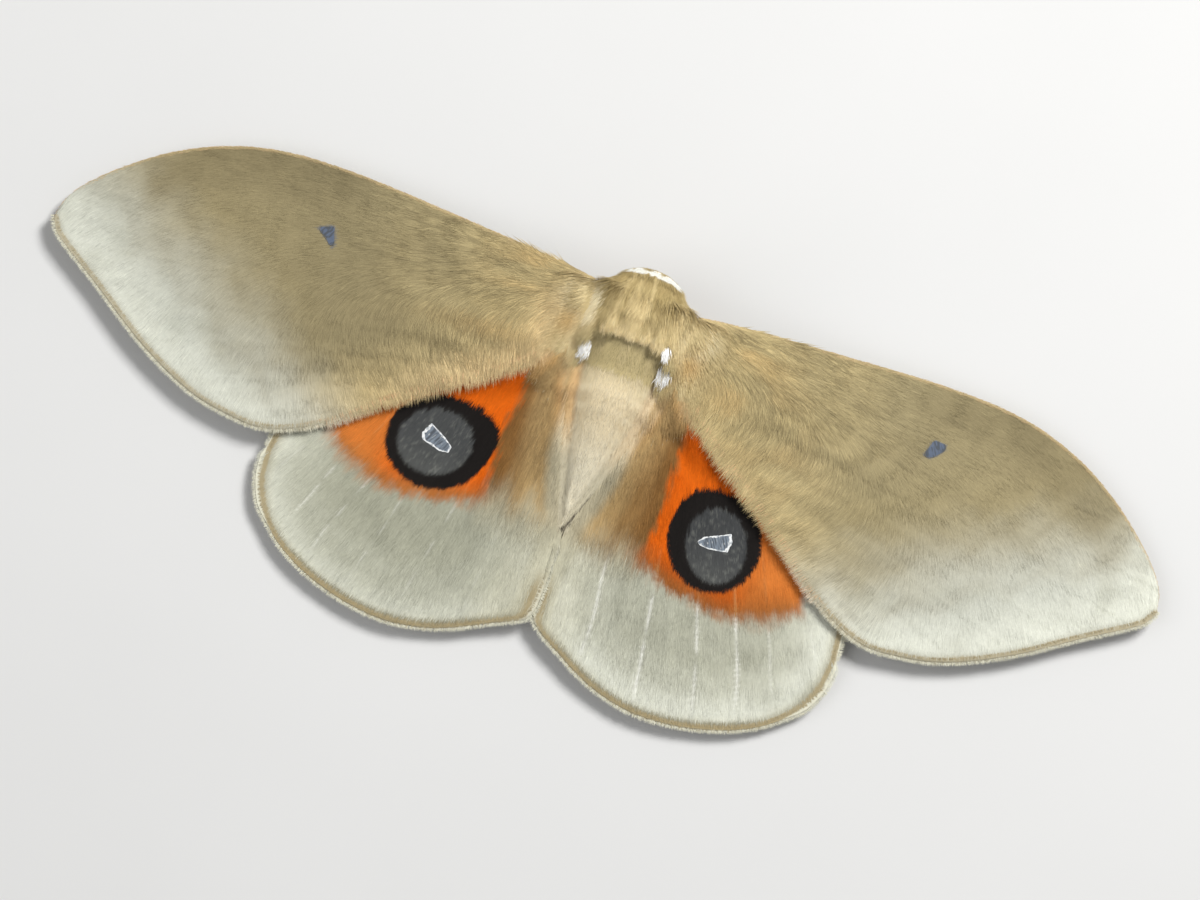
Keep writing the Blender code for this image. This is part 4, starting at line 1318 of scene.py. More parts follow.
def body_colour(points):
    """The body's colours: olive and gold over the thorax, buff behind it, then cream."""
    x, y, z = points.T
    drift = 0.5 * noise(x / 2.5, y / 2.5, 70)
    streak = noise((x + drift) / 0.42, y / 3.4, 71) + 0.6 * noise((x + drift) / 0.2, y / 2.2, 72)
    gold = (0.44 + 0.42 * bump(x, 0.35 - 0.25 * (y - 4), 0.9) * ease((8.4 - y) / 3.0)
            + 0.35 * bump(x, -2.4, 1.0) * ease((6.0 - y) / 3.0) - 0.46 * ease((y - 5.6) / 2.6)
            - 0.28 * ease((-2.7 - x) / 1.2) * ease((5.4 + x) / 0.8) * ease((y - 2.6) / 2.0)
            + 0.10 * ease(x / 3) + 0.54 * streak + 0.05 + 0.25 * noise((x + drift) / 1.1, y / 2.6, 73))
    thorax = mix(THORAX_OLIVE, THORAX_GOLD, np.clip(gold, 0, 1))
    rear = ease((3.6 - y) / 1.0) * ease((3.6 - np.abs(x + 0.2)) / 1.2)
    flank = ease((np.abs(x) - 4.2) / 1.6) * ease((8.6 - y) / 3)
    tint = np.exp(-(np.hypot(np.abs(x) - 7.0, y - 1.6) / 1.5) ** 2)
    behind = mix(METATHORAX, THORAX_PALE, np.clip(0.15 + 0.15 * streak, 0, 1))
    thorax = layered(
        thorax,
        (THORAX_PALE, (0.8 * rear * (1 + 0.5 * streak)).clip(0, 1)),
        (THORAX_PALE, 0.6 * np.exp(-np.hypot((x + 1.3) / 0.8, (y - 3.2) / 1.4) ** 2)),
        (THORAX_PALE, 0.35 * flank * (1 + 0.5 * streak).clip(0, 1.6)),
        (BUFF, 0.5 * ease((np.abs(x) - 7.0) / 1.6)),
        (ORANGE_TINT, 0.55 * tint))
    behind = mix(behind, ORANGE_TINT, 0.35 * ease((np.abs(x) - 4.9) / 1.0))
    # Painted shadow: the buff just behind the thorax's rear edge is darkened, as if shaded by the long
    # hair's edge.
    behind = behind * (1 - 0.25 * bump(y, 1.5, 0.6) * ease((3.8 - np.abs(x)) / 0.8))[:, None]
    colour = mix(thorax, behind, ease((2.0 - y) / 0.3) * ease((6.4 - np.abs(x)) / 1.2))
    cream = mix(ABDOMEN_CREAM, ABDOMEN_PALE, ease((-7.0 - y) / 8.0))
    rings = bump(np.mod(SEGMENTS_FROM - y + 0.5 * noise(x / 1.2, y / 1.2, 75), SEGMENT_LENGTH), 0.55, 0.35)
    beside = np.abs(x) - trunk_at(y)[0]
    left = ease(0.5 - x / 2)
    cream = layered(
        cream,
        (METATHORAX, 0.30 * ease((y + 5.0) / 2.5)),
        (ABDOMEN_GREY, 0.12 * rings * ease(0.5 + noise(x / 1.1, y / 1.5, 76))),
        (ABDOMEN_GREY, 0.25 * ease(noise(x / 0.5, y / 0.9, 78) * 2 - 0.7)))
    peach = (0.25 + 0.55 * left) * ease((y + 12) / 5)
    edge = layered(
        FOLD_CREAM,
        (FOLD_PEACH, peach),
        (SIDE_GREY, 0.9 * ease((-10.0 - y) / 4)),
        (mix(FOLD_TAN, SIDE_GREY, ease((-10.0 - y) / 5)), ease((beside - 0.5) / 0.7)))
    # Painted shadow along the gap between the abdomen's tip and the right hindwing's inner edge.
    gap_shadow = bump(x, 2.25 + 0.40 * (y + 16.1), 0.22) * ease((-14.5 - y) / 2.5) * ease((y + 22.2) / 0.8)
    cream = layered(
        cream,
        (edge, ease((beside + 0.55) / 0.8)),
        (PAINTED_GAP_SHADOW, gap_shadow))
    joined_wing = ease((beside - 0.9) / 0.9) * ease((-1.5 - y) / 1.5)
    joined_wing = np.maximum(joined_wing, 0.75 * ease((np.abs(x) - 6.9) / 1.8))
    # Painted light: a pale patch that lightens the shade in the hollow beside the left white tuft.
    painted_light_in_hollow = np.exp(-(np.hypot((x + 5.7) / 1.0, (y + 0.2) / 2.4)) ** 2)
    under = mix(BELLY_BUFF, UNDER_BROWN, 0.45 * ease((y - 1.0) / 4.0))
    far = np.full(len(x), 40.0)
    chest = chest_share(x, y, z, 8.5) * (1 + 0.6 * noise(x / 0.3, z / 0.9, 79)).clip(0, 2)
    face = ease((6.0 - z) / 0.4) * ease((y - 6.6) / 0.6) * ease((3.2 - np.abs(x)) / 0.5)
    colour = layered(
        colour,
        (cream, ease((-1.9 - y + 0.35 * noise(x / 0.8, y / 2, 77)) / 0.5)),
        (root_colour(x, y), joined_wing * ease((z - 3.0) / 1.0)),
        (THORAX_PALE, 0.55 * painted_light_in_hollow),
        (under, ease((5.2 - z) / 2.2) * ease((y + 16) / 8)),
        (wing_under("forewing", np.abs(x), y, far, far, "r", 3), below_wings(points)),
        (OLIVE_DARK, 0.40 * chest))
    return mix(colour, mix(LIMB_TAWNY, THORAX_PALE, ease((z - 3.2) / 2.4)), face)


def root_colour(x, y):
    """The wings' own colours where the body's skin runs into them, the forewing's ahead of its rear edge."""
    far, px = np.full(x.shape, 9.0), np.abs(x)
    rear = edge_distance(px, y, TRAIL)
    ahead = ease((y - np.interp(px, *TRAIL.T) + 0.8) / 1.8)
    sides = [mix(hindwing_upper(px, y, far, far, side, 3), forewing_upper(px, y, rear, far, side, 3), ahead)
             for side in ("l", "r")]
    return np.where(x[:, None] > 0, sides[1], sides[0])


def collar_share(points):
    """1 on the white band that edges the collar's front face."""
    x, y, z = points.T
    straight = y + FRONT_BEND * x ** 2 + 0.12 * noise(x / 0.4, z / 0.6, 93)
    low = 8.1 - 0.05 * x ** 2 + 0.25 * noise(x / 0.9, x * 0, 94) + 0.25 * noise(x / 0.3, x * 0, 92)
    return ease((straight - 9.24) / 0.14) * ease((z - low) / 0.5) * ease((5.1 - np.abs(x)) / 0.5)


CLEARANCE = 0.07           # how far a tuft's tip stays off the skin
DRAPE_ARCH = 0.25          # how high draped hair arches, as a share of its length
REAR_EDGE_Y = 1.6          # where the long hair over the thorax ends
# Where pale wisps fan out of the shoulders: the place and the spread of each.
SHOULDER_WISPS = [((-5.4, 5.4), 1.4), ((-6.6, 4.5), 1.3), ((6.9, 4.6), 1.3), ((-4.9, 3.0), 0.5)]
# White tufts beside the thorax's rear: place, spread, reach, length, count and colour.
# Their colour is their own white, brightened with painted light against the shade they lie in.
WHITE_TUFTS = [((-4.6, -0.9), 0.34, (-0.15, -1.0), 1.15, 440, WHITE_WITH_PAINTED_LIGHT),
               ((4.0, 1.7), 0.21, (0.30, -1.0), 1.15, 260, WHITE_WITH_PAINTED_LIGHT),
               ((4.85, -0.6), 0.38, (-0.05, -1.0), 1.25, 520, WHITE_WITH_PAINTED_LIGHT)]


def clearing(tree, roots, along, up, length, lift, sag):
    """The lift that keeps each tuft's middle and tip off a skin that curves up ahead of it."""
    lift = np.array(lift)
    for share in (0.55, 1.0):
        rise = length * (lift * share - sag * share ** 2)
        spine = roots + along * (length * share)[:, None] + up * rise[:, None]
        near = [tree.find_nearest(Vector(place)) for place in spine]
        height = np.array([(Vector(place) - hit[0]).dot(hit[1]) for place, hit in zip(spine, near)])
        lift += (CLEARANCE * share - height).clip(0, 2) / (length * share)
    return lift


def fur(name, spots, lie, length, width, lift, sag, colours, slot, material, rng, jitter=0.12, tip_tone=1.06,
        ridge=0.3, curved=True, unevenness=0.045, tree=None):
    """Tufts over a skin, whose directions and tones vary a little. They clear the skin that tree holds."""
    roots, normals, at = spots
    n = len(roots)
    up = unit(normals)
    along = tangent(lie + rng.normal(0, jitter, (n, 3)), up)
    tone = 1 + rng.normal(0, unevenness, n)
    length = length * rng.uniform(0.75, 1.2, n)
    sag = np.broadcast_to(sag, n)
    lift = np.broadcast_to(lift, n) * rng.uniform(0.6, 1.4, n)
    if tree:
        lift = clearing(tree, roots, along, up, length, lift, sag)
    width = width * rng.uniform(0.8, 1.25, n)
    tuft_piece(name, roots, along, up, length, width, lift, rng.normal(0, 0.10, n), sag,
               colours * tone[:, None], at, slot, material, curved=curved, tip_tone=tip_tone, ridge=ridge)


def draped_piece(name, roots, tips, normals, width, colours, at, slot, material, rng):
    """Tufts that each run from a root to a given tip, with a slight arch."""
    reach = tips - roots
    along = unit(reach)
    n = len(roots)
    bend = DRAPE_ARCH * rng.uniform(0.6, 1.4, n)
    tuft_piece(name, roots, along, tangent(normals, along), np.linalg.norm(reach, axis=1), width, bend,
               rng.normal(0, 0.05, n), bend, colours, at, slot, material, ridge=0.25)


def body_lie(points):
    """Which way the body's fur runs: back, and out over the shoulders."""
    x, y, z = points.T
    out = ease((np.abs(x) - 3.4) / 2.8) * ease((y + 2.8) / 3) * ease((z - 5.5) / 2)
    swirl = 0.20 * noise(x / 1.6, y / 2.0, 81) + 0.08 * noise(x / 0.6, y / 1.0, 82)
    back = np.stack([0.05 * x + swirl, -np.ones(len(x)), 0.8 * ease((y - 8.4) / 0.5)], axis=1)
    fan = np.stack([np.sign(x) * (np.abs(x) - 2.8).clip(0.4, 9), (y - 8.0).clip(-9, -0.8), 0 * x], axis=1)
    lie = mix(back, unit(fan) + back * (0.15, 0, 0), out)
    lie[:, 0] -= np.where(x > 0, 0.38, -0.26) * ease((-11 - y) / 4) * ease(np.abs(x) / 0.5)
    away = np.stack([np.sign(x) * (1 - 0.7 * ease((-4 - y) / 3)), np.full(len(x), -0.6), 0 * x], axis=1)
    lie = mix(lie, unit(away), below_wings(points))
    chest = np.stack([0.2 * x + swirl, 0 * x, -np.ones(len(x))], axis=1)
    return unit(mix(lie, chest, chest_share(x, y, z, 8.9)))


def white_spot(points):
    """1 where a white tuft stands, and just in front of it, so that no other hair covers it."""
    share = np.zeros(len(points))
    for (cx, cy), wide in [(tuft[0], tuft[1]) for tuft in WHITE_TUFTS]:
        gap = np.hypot(points[:, 0] - cx, (points[:, 1] - cy - 0.5) / 2.0)
        share = np.maximum(share, ease((wide + 0.25 - gap) / 0.3))
    return share


def over_wings(points):
    """0 where the body's skin has dipped under the top of a wing, so that no hair is spent there."""
    x, y, z = np.abs(points[:, 0]), points[:, 1], points[:, 2]
    depth = z - wing_top(x, y)
    seen = np.maximum(ease((depth + 0.30) / 0.25), ease((-0.9 - depth) / 0.2))
    return np.where(x > trunk_at(y)[0] + 0.4, seen, 1.0)


def shoulder_hair(skin, material, rng):
    """Long fine hair that runs from the thorax and the shoulders out over the wing roots."""
    def near(p):
        x = np.abs(p[:, 0])
        back = 4.0 + 2.6 * ease((x - 5.8) / 1.2)
        return (ease((x - 3.9) / 1.2) * ease((p[:, 1] + back) / 0.8) * (p[:, 2] > 5.6)
                * (1 - white_spot(p)) * over_wings(p))
    roots, normals, at = spread(skin, TUFTS["shoulder"], near, rng, above=0.25)
    n = len(roots)
    x, y, z = roots.T
    lie = unit(body_lie(roots)[:, :2] + rng.normal(0, 0.08, (n, 2)))
    length = rng.uniform(1.5, 2.6, n) * (1 - 0.35 * ease((y - 5.5) / 1.5))
    tips = roots.copy()
    tips[:, :2] += lie * length[:, None]
    floor = np.maximum(wing_top(np.abs(tips[:, 0]), tips[:, 1]) + 0.16, z - 0.6 * length)
    outer = ease((np.abs(tips[:, 0]) - 5.6) / 1.4)
    tips[:, 2] = (z - 0.12 * length) * (1 - outer) + np.minimum(floor, z + 0.25) * outer
    wisp = sum(np.exp(-(np.hypot(x - cx, y - cy) / wide) ** 2) for (cx, cy), wide in SHOULDER_WISPS)
    streak = 0.5 + 0.5 * noise((x * lie[:, 1] - y * lie[:, 0]) / 0.3, (x + y) / 4.0, 85)
    colour = mix(body_colour(roots), WISP_PALE, np.clip(wisp, 0, 1) * (0.65 + 0.35 * streak))
    colour = colour * (1 + rng.normal(0, 0.035, n))[:, None]
    draped_piece("shoulder_coat", roots, tips, unit(normals), rng.uniform(0.045, 0.08, n), colour, at,
                 "olive_coat", material, rng)


def side_hair(skin, material, rng):
    """Soft hair along the abdomen's sides and over the hindwings' inner edges, lying straight back."""
    def near(p):
        x = np.abs(p[:, 0])
        return (ease((-2.0 - p[:, 1]) / 1.0) * (p[:, 2] > 3.0)
                * ease((x - 0.55 * trunk_at(p[:, 1])[0]) / 0.5) * ease((p[:, 1] + 22) / 0.8)
                * over_wings(p))
    spots = spread(skin, TUFTS["side"], near, rng)
    p = spots[0]
    length = 1.3 + 0.5 * ease((p[:, 1] + 16) / 6)
    fur("side_coat", spots, body_lie(p) * (0.4, 1, 1), length, 0.065, 0.08, 0.06, body_colour(p),
        "cream_coat", material, rng, jitter=0.07, ridge=0.25, unevenness=0.03, tree=skin["tree"])


def make_body(skin_material, coat_material):
    parts = [trunk_part(), blob(HEAD_CENTRE, np.array(HEAD_RADII) - COAT_DEPTH["head"])]
    for centre, radii in LUMPS:
        parts.append(blob(centre, radii))
        if centre[0]:
            parts.append(mirrored(parts[-1]))
    parts += [mantle_part(), mirrored(mantle_part())]
    points, faces = merged_skin(parts)
    colours = mix(body_colour(points), WHITE, 0.85 * collar_share(points)) * SKIN_SHADE
    skin = skin_piece("body_skin", points, faces, colours, skin_material,
                      ["head", "collar", "thorax", "tegula_l", "tegula_r", "abdomen"])
    rng = np.random.default_rng(7)

    def on_head(p):
        return ease((6.1 - p[:, 2]) / 0.4) * ease((p[:, 1] - 6.3) / 0.5) * (np.abs(p[:, 0]) < 3.2)

    def on_thorax(p):
        return ((1 - collar_share(p)) * (1 - on_head(p)) * ease((p[:, 1] + 2.4) / 0.5) * (1 - white_spot(p))
                * (0.35 + 0.65 * ease((p[:, 2] - 5.0) / 2)) * over_wings(p))

    spots = spread(skin, TUFTS["thorax"], on_thorax, rng)
    p = spots[0]
    front = ease((p[:, 1] - METATHORAX_Y) / 0.3)
    length = 0.9 + 0.2 * front + 0.9 * ease((p[:, 1] - 2.6) / 1.6) - 1.1 * ease((p[:, 1] - 7.0) / 1.8)
    length = length * np.maximum(0.4 + 0.6 * ease((spots[1][:, 2] + 0.6) / 0.7), below_wings(p))
    fur("thorax_coat", spots, body_lie(p), length, 0.065, 0.04 + 0.07 * front, 0.06, body_colour(p),
        "olive_coat", coat_material, rng, jitter=0.07, ridge=0.25, unevenness=0.035, tree=skin["tree"])
    shoulder_hair(skin, coat_material, rng)
    side_hair(skin, coat_material, rng)

    def on_abdomen(p):
        return ease((-1.6 - p[:, 1]) / 0.5) * over_wings(p)

    spots = spread(skin, TUFTS["abdomen"], on_abdomen, rng)
    p = spots[0]
    length = 0.6 + 0.5 * ease((p[:, 1] + 18) / 12)
    fur("abdomen_coat", spots, body_lie(p) * (0.5, 1, 1), length, 0.075, 0.05, 0.02, body_colour(p),
        "cream_coat", coat_material, rng, jitter=0.10, curved=False, unevenness=0.03, tree=skin["tree"])

    spots = spread(skin, TUFTS["collar"], collar_share, rng)
    p = spots[0]
    upper = ease((p[:, 2] - 8.35 + 0.05 * p[:, 0] ** 2) / 0.4)
    rise = np.stack([p[:, 0] * 0.12, np.full(len(p), -0.1), 2 * upper - 1], axis=1)
    stray = rng.random(len(p)) > collar_share(p) * 1.3
    white = mix(WHITE, THORAX_PALE, 0.8 * stray)
    fur("collar_coat", spots, rise, 0.42, 0.065, 0.08, 0.05, white, "white_hair", coat_material, rng,
        tree=skin["tree"])

    spots = spread(skin, TUFTS["head"], on_head, rng)
    p = spots[0]
    crown = ease((p[:, 2] - 4.1) / 0.9)
    swirl = 0.3 * noise(p[:, 0] / 0.7, p[:, 2] / 0.7, 83)
    lie = np.stack([0.25 * p[:, 0] + swirl, 0.15 + 0.9 * crown, -1.0 + 0.6 * crown], axis=1)
    length = 0.45 + 0.45 * crown
    streak = noise(p[:, 0] / 0.22, p[:, 2] / 1.2, 84)
    fur("head_coat", spots, lie, length, 0.045, 0.14, 0.12, body_colour(p) * (1 + 0.14 * streak)[:, None],
        "olive_coat", coat_material, rng, jitter=0.14, tree=skin["tree"])
    return skin


def make_accents(skin, material):
    """The white tufts, and the ragged pale edge where the thorax's long hair ends."""
    rng = np.random.default_rng(21)
    rows = []
    for (cx, cy), wide, reach, length, count, tint in WHITE_TUFTS:
        def near(p):
            return np.exp(-(np.hypot(p[:, 0] - cx, (p[:, 1] - cy) / 1.6) / wide) ** 2) * (p[:, 2] > 6.5)
        roots, normals, at = spread(skin, count, near, rng)
        n = len(roots)
        lie = np.tile((*reach, 0.0), (n, 1)) + 0.10 * (roots - (cx, cy, 9.0)) * (1, 0, 0)
        rows.append((roots, normals, at, lie, np.full(n, length), np.tile(tint, (n, 1))))
    roots, normals, at, lie, length, colours = (np.concatenate(column) for column in zip(*rows))
    normals = unit(0.3 * normals + (0.15, 0.15, 1.0))
    fur("white_tufts", (roots, normals, at), lie, length, 0.07, 0.30, 0.14, colours, "white_hair",
        material, rng, jitter=0.08)

    def at_rear(p):
        line = REAR_EDGE_Y + 0.35 * noise(p[:, 0] / 0.9, p[:, 0] * 0, 95)
        return np.exp(-((p[:, 1] - line - 0.9) / 0.35) ** 2) * (np.abs(p[:, 0]) < 3.9) * (p[:, 2] > 7)

    roots, normals, at = spread(skin, TUFTS["rear_edge"], at_rear, rng)
    clump = noise(roots[:, 0] / 0.35, roots[:, 1] * 0, 96)
    lie = np.stack([0.35 * clump, -np.ones(len(roots)), 0 * clump], axis=1)
    tint = mix(THORAX_GOLD, THORAX_PALE, ease(0.5 + 0.7 * clump))
    fur("rear_edge_tufts", (roots, normals, at), lie, 1.0 + 0.35 * clump, 0.06, 0.26, 0.12, tint,
        "olive_coat", material, rng, jitter=0.08, tip_tone=1.3)


# ---------------------------------------------------------------- head parts and limbs

ANTENNA_PATH = [(1.2, 8.6, 4.75), (1.75, 9.0, 5.25), (3.1, 7.8, 4.65), (5.2, 5.9, 4.0), (8.8, 4.3, 3.8),
                (13.6, 3.3, 3.8)]
ANTENNA_SEGMENTS = 42
RAMUS_LENGTH = 1.45
SHAFT_SHADE = 0.7
SOLE_HEIGHT = 0.312
LEG_RADII = [0.50, 0.55, 0.36, 0.40, 0.27, 0.29, 0.24]
LEGS = {
    "foreleg": [(1.9, 4.6, 1.8), (3.5, 4.7, 2.1), (5.4, 5.0, 2.45), (7.0, 5.4, 1.6), (8.2, 5.7, 0.7),
                (9.4, 6.0, SOLE_HEIGHT), (11.0, 6.4, SOLE_HEIGHT)],
    "midleg": [(2.2, 1.4, 1.5), (4.4, 1.1, 2.2), (6.6, 0.5, 2.9), (8.2, -0.1, 1.8), (9.5, -0.7, 0.75),
               (10.9, -1.3, SOLE_HEIGHT), (12.8, -2.1, SOLE_HEIGHT)],
    "hindleg": [(1.9, -1.6, 1.6), (3.9, -3.1, 2.2), (5.7, -4.7, 2.8), (6.8, -6.6, 1.7), (7.6, -8.2, 0.75),
                (8.3, -9.7, SOLE_HEIGHT), (9.1, -11.7, SOLE_HEIGHT)],
}
LEG_RINGS = 90
TARSUS_FROM = 0.62          # where along the leg its five foot joints begin
FOOT_JOINTS = 5
CLAW_LENGTH = 0.42
CLAW_RINGS = 7
PALP_PATH = [(0.55, 8.3, 1.9), (0.66, 8.75, 1.35), (0.72, 9.15, 1.08), (0.76, 9.6, 1.02)]
PALP_RADII = [0.28, 0.30, 0.26, 0.16]
PALP_RINGS = 24
LIMB_SIDES = 12             # corners round a leg or a palp
CLAW_SIDES = 8
SHAFT_SIDES = 10


def make_eyes(material):
    for side, hand in SIDES:
        points, quads, fans = blob((EYE_CENTRE[0] * hand, *EYE_CENTRE[1:]), (EYE_RADIUS,) * 3, EYE_SIDES)
        eye = new_piece(f"compound_eye_{side}", points, [quads, fans], EYE_BROWN, material)
        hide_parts(f"eye_{side}")


def make_antennae(skin_material, coat_material):
    """Feathery feelers: a jointed shaft with four branches to each joint, swept back under the forewings."""
    line = smooth_path(ANTENNA_PATH, 8 * ANTENNA_SEGMENTS)
    share = np.linspace(0, 1, len(line))
    radii = (0.20 - 0.12 * share) * (1 - 0.16 * np.abs(np.cos(share * ANTENNA_SEGMENTS * math.pi)) ** 4)
    radii[-6:] *= np.linspace(1, 0.3, 6)
    shaft = tube(line, radii, SHAFT_SIDES)
    at = (np.arange(3, ANTENNA_SEGMENTS) + 0.5) / ANTENNA_SEGMENTS
    place = rows_at(at, share, line)
    ahead = unit(rows_at(at, share, np.gradient(line, axis=0)))
    aside = unit(np.cross(ahead, (0, 0, 1.0)))
    length = RAMUS_LENGTH * np.sin(math.pi * (at * 0.94 + 0.05)) ** 0.6
    count = len(at)
    for side, hand in SIDES:
        rng = np.random.default_rng(31 + hand)
        points, quads, fans = shaft if hand > 0 else mirrored(shaft)
        tint = np.array(THORAX_PALE) * SHAFT_SHADE
        skin = skin_piece(f"antenna_shaft_{side}", points, [quads, fans], tint, skin_material,
                          [f"antenna_{side}"])
        spots = spread(skin, TUFTS["antenna"], lambda p: np.exp(-np.abs(p[:, 0]) / 8), rng)
        near = np.abs(spots[0][:, None, 0] * hand - line[None, :, 0]).argmin(axis=1)
        lie = unit(np.gradient(line, axis=0))[near] * (hand, 1, 1)
        tint = mix(THORAX_PALE, LIMB_TAWNY, 0.7 * rng.random(len(near)))
        fur(f"antenna_coat_{side}", spots, lie, 0.26, 0.06, 0.12, 0.1, tint, "tawny_limb", coat_material,
            rng)
        rows = []
        for edge in (1, -1):
            for rise, slant in ((0.22, 0.35), (-0.22, 0.75)):
                lie = unit(aside * edge + ahead * slant + (0, 0, rise) + rng.normal(0, 0.04, place.shape))
                up = unit(np.cross(np.cross(lie, (0, 0, 1.0)), lie))
                width, curl, sag = (np.full(count, value) for value in (0.085, -0.12 * edge, 0.05))
                tint = np.tile(LIMB_TAWNY, (count, 1)) * rng.uniform(0.85, 1.2, (count, 1))
                spot = np.stack([at, np.full(count, 0.5 + 0.2 * edge + 0.1 * rise)], axis=1)
                rows.append((place, lie, up, length, width, np.zeros(count), curl, sag, tint, spot))
        columns = [np.concatenate(column) for column in zip(*rows)]
        tuft_piece(f"antenna_rami_{side}", *columns, "tawny_limb", coat_material, mirror=hand)


def make_leg(kind, hand, side, skin_material, coat_material):
    """Thigh, shin and a foot of five joints with two claws. The foot lies on the floor."""
    line = smooth_path([(*p, r) for p, r in zip(LEGS[kind], LEG_RADII)], LEG_RINGS)
    share = np.linspace(0, 1, LEG_RINGS)
    foot = ease((share - TARSUS_FROM) / 0.03)
    joints = np.abs(np.sin((share - TARSUS_FROM) / (1 - TARSUS_FROM) * FOOT_JOINTS * math.pi)) ** 0.5
    knee = 1 - 0.22 * bump(share, 0.36, 0.02)
    radii = line[:, 3] * knee * (1 - foot * 0.22 * (1 - joints))
    radii[-4:] *= np.linspace(1, 0.55, 4)
    leg = tube(line[:, :3], radii, LIMB_SIDES)
    tip, ahead = line[-1, :3], unit(line[-1, :3] - line[-4, :3])
    parts, tint = [leg], [np.tile(LIMB_TAWNY, (len(leg[0]), 1))]
    for spread_out in (0.5, -0.5):
        aside = np.cross(ahead, (0, 0, 1.0)) * spread_out
        reach = np.linspace(0, CLAW_LENGTH, CLAW_RINGS)
        path = np.array([tip + ahead * d + aside * d * 0.9 + (0, 0, 0.06 * math.sin(d * 7) - 0.5 * d * d)
                         for d in reach])
        path[:, 2] = np.maximum(path[:, 2], 0.05)
        claw = tube(path, np.linspace(0.07, 0.012, CLAW_RINGS), CLAW_SIDES)
        parts.append(claw)
        tint.append(np.tile(CLAW_BROWN, (len(claw[0]), 1)))
    if hand < 0:
        parts = [mirrored(part) for part in parts]
    points, faces = joined(parts)
    skin = skin_piece(f"{kind}_skin_{side}", points, faces, np.concatenate(tint),
                      skin_material, [f"{kind}_{side}"])
    rng = np.random.default_rng(40 + len(kind) + hand)
    line[:, 0] *= hand

    def bare(p):
        near = np.linalg.norm(p[:, None] - line[None, ::3, :3], axis=2).argmin(axis=1) / (LEG_RINGS / 3)
        return (1 - 0.55 * ease((near - TARSUS_FROM) / 0.1)) * (p[:, 2] > 0.16) * (near < 0.97)

    spots = spread(skin, TUFTS["leg"], bare, rng)
    p = spots[0]
    near = np.linalg.norm(p[:, None] - line[None, :, :3], axis=2).argmin(axis=1)
    ahead = unit(np.gradient(line[:, :3], axis=0))[near]
    length = 0.28 + 0.42 * ease((TARSUS_FROM + 0.03 - near / LEG_RINGS) / 0.12)
    colour = mix(LIMB_TAWNY, THORAX_PALE, ease(0.35 + 0.5 * noise(p[:, 0] / 0.4, p[:, 1] / 0.4, 61)))
    fur(f"{kind}_coat_{side}", spots, ahead, length, 0.075, 0.15, 0.12, colour, "tawny_limb",
        coat_material, rng)


def make_palps(skin_material, coat_material):
    line = smooth_path([(*p, r) for p, r in zip(PALP_PATH, PALP_RADII)], PALP_RINGS)
    part = tube(line[:, :3], line[:, 3], LIMB_SIDES)
    for side, hand in SIDES:
        points, quads, fans = part if hand > 0 else mirrored(part)
        skin = skin_piece(f"palp_skin_{side}", points, [quads, fans], LIMB_TAWNY,
                          skin_material, [f"palp_{side}"])
        rng = np.random.default_rng(55 + hand)
        spots = spread(skin, TUFTS["palp"], lambda p: np.ones(len(p)), rng)
        n = len(spots[0])
        lie = np.tile((0.05 * hand, 1.0, -0.35), (n, 1))
        tint = mix(LIMB_TAWNY, THORAX_PALE, rng.random(n) * 0.7)
        fur(f"palp_coat_{side}", spots, lie, 0.3, 0.06, 0.2, 0.12, tint, "tawny_limb", coat_material, rng)


def eye_material():
    """Dark, glossy and set with fine facets."""
    material, tree, shader = new_material("compound_eye")
    link = tree.links.new
    place = node(tree, "ShaderNodeTexCoord")
    facets = node(tree, "ShaderNodeTexVoronoi", Scale=11000.0)
    tone = colour_ramp(tree, FACET_LOW, FACET_HIGH)
    relief = node(tree, "ShaderNodeBump", invert=True, Strength=0.35, Distance=RELIEF_HEIGHT / 2)
    link(place.outputs["Object"], facets.inputs["Vector"])
    link(facets.outputs["Distance"], tone.inputs["Fac"])
    link(tone.outputs["Color"], shader.inputs["Base Color"])
    link(facets.outputs["Distance"], relief.inputs["Height"])
    link(relief.outputs["Normal"], shader.inputs["Normal"])
    set_sockets(shader, Roughness=0.22, Coat_Weight=0.4, Coat_Roughness=0.1)
    return material


# ---------------------------------------------------------------- stage

IMAGE_RIGHT = (0.936, 0.352)      # the row directions of the picture's right side and top
IMAGE_CENTRE = (1.03, 3.15)       # the row point, in millimetres, at the middle of the picture
WING_LEVEL = 3.0
VIEW_WIDTH = 138.0                # how much of the wings' level the picture is wide
CAMERA_HEIGHT = 500.0
SENSOR_WIDTH = 36.0
FLOOR_SIZE = 3.0                  # metres, as are the lamps' places and sizes
# The lamps: name, place, size and power in watts.
LAMPS = (("key", (0.20, 0.42, 0.50), 0.20, 5.2), ("fill", (-0.5, -0.2, 0.6), 0.7, 1.7))
SKY_STRENGTH = 0.28


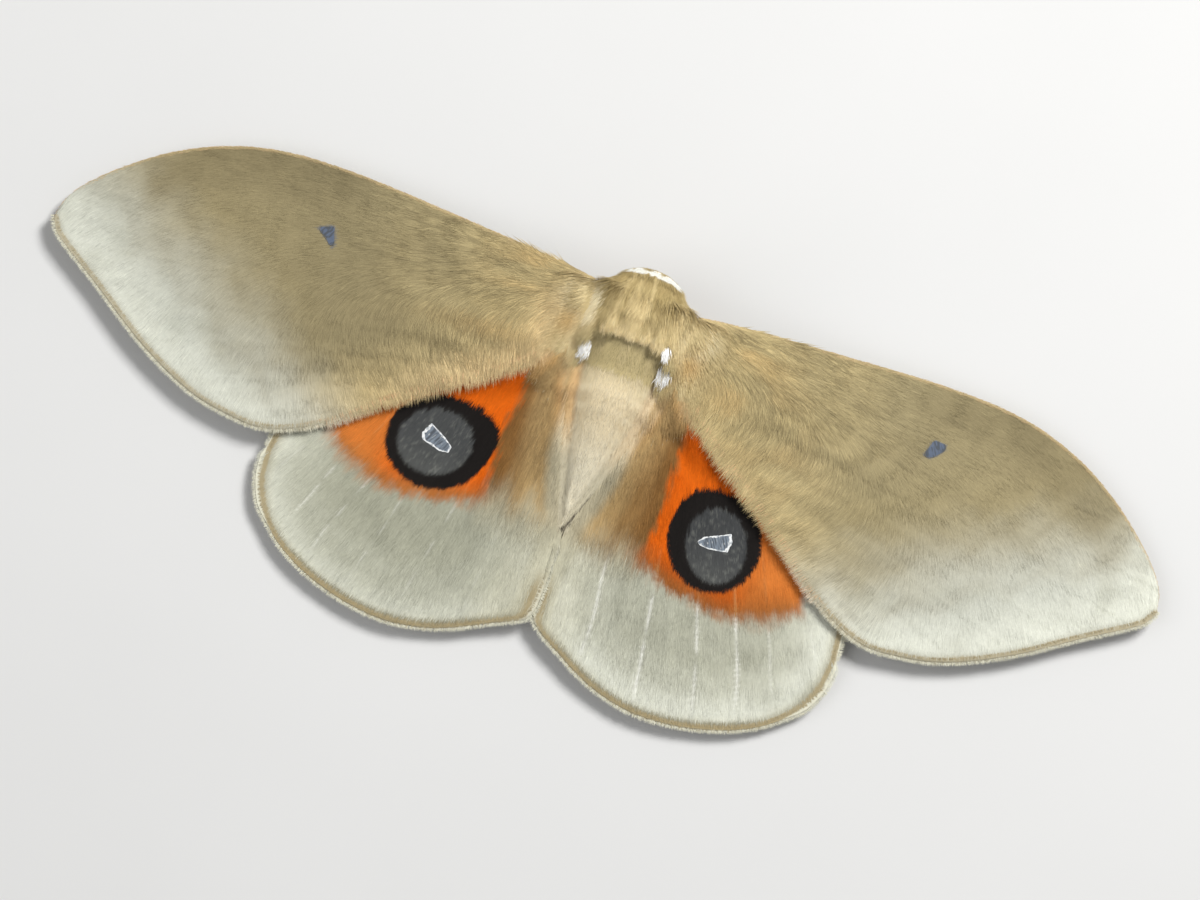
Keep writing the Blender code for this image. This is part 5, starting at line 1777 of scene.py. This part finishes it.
def make_stage():
    bpy.ops.mesh.primitive_plane_add(size=FLOOR_SIZE)
    floor = bpy.context.object
    floor.name = "floor"
    material, tree, shader = new_material("pale_floor")
    grain = node(tree, "ShaderNodeTexNoise", Scale=60.0, Detail=5.0)
    tone = colour_ramp(tree, FLOOR_LOW, FLOOR_HIGH)
    tree.links.new(grain.outputs["Fac"], tone.inputs["Fac"])
    tree.links.new(tone.outputs["Color"], shader.inputs["Base Color"])
    set_sockets(shader, Roughness=0.9)
    floor.data.materials.append(material)

    for name, place, size, power in LAMPS:
        lamp = bpy.data.lights.new(name, "AREA")
        lamp.size = size
        lamp.energy = power
        holder = bpy.data.objects.new(name, lamp)
        holder.location = place
        holder.rotation_euler = Vector(place).to_track_quat("Z", "Y").to_euler()
        bpy.context.scene.collection.objects.link(holder)
    world = bpy.data.worlds.new("soft_room")
    world.use_nodes = True
    set_sockets(world.node_tree.nodes["Background"], Color=(*SKY, 1), Strength=SKY_STRENGTH)
    bpy.context.scene.world = world
    bpy.context.scene.view_settings.view_transform = "Standard"


def make_camera():
    """Straight above, turned so that the moth lies in the picture as it does in life."""
    lens = bpy.data.cameras.new("camera")
    lens.sensor_width = SENSOR_WIDTH
    lens.lens = SENSOR_WIDTH * (CAMERA_HEIGHT - WING_LEVEL) / VIEW_WIDTH
    lens.clip_start = 0.01
    camera = bpy.data.objects.new("camera", lens)
    camera.location = (IMAGE_CENTRE[0] * MM, IMAGE_CENTRE[1] * MM, CAMERA_HEIGHT * MM)
    camera.rotation_euler = (0, 0, math.atan2(IMAGE_RIGHT[1], IMAGE_RIGHT[0]))
    bpy.context.scene.collection.objects.link(camera)
    bpy.context.scene.camera = camera


wing_coat = painted_material("wing_scales", roughness=0.72, grain=900.0, grain_share=0.04)
wing_skin = painted_material("wing_skin", roughness=0.7, grain=2500.0, grain_share=0.10, bump_strength=0.4)
body_fur = painted_material("body_fur", roughness=0.75, grain=700.0, grain_share=0.05, sheen=0.08)
body_skin = painted_material("body_skin", roughness=0.8, grain=1500.0, grain_share=0.12, bump_strength=0.5)
wing_pane = painted_material("wing_pane", roughness=0.32, grain=3000.0, grain_share=0.05, specular=0.35)
make_wings(wing_coat, wing_skin, wing_pane)
trunk = make_body(body_skin, body_fur)
make_accents(trunk, body_fur)
make_eyes(eye_material())
make_palps(body_skin, body_fur)
make_antennae(body_skin, body_fur)
for side_name, side_hand in SIDES:
    for leg_kind in LEGS:
        make_leg(leg_kind, side_hand, side_name, body_skin, body_fur)
make_stage()
make_camera()
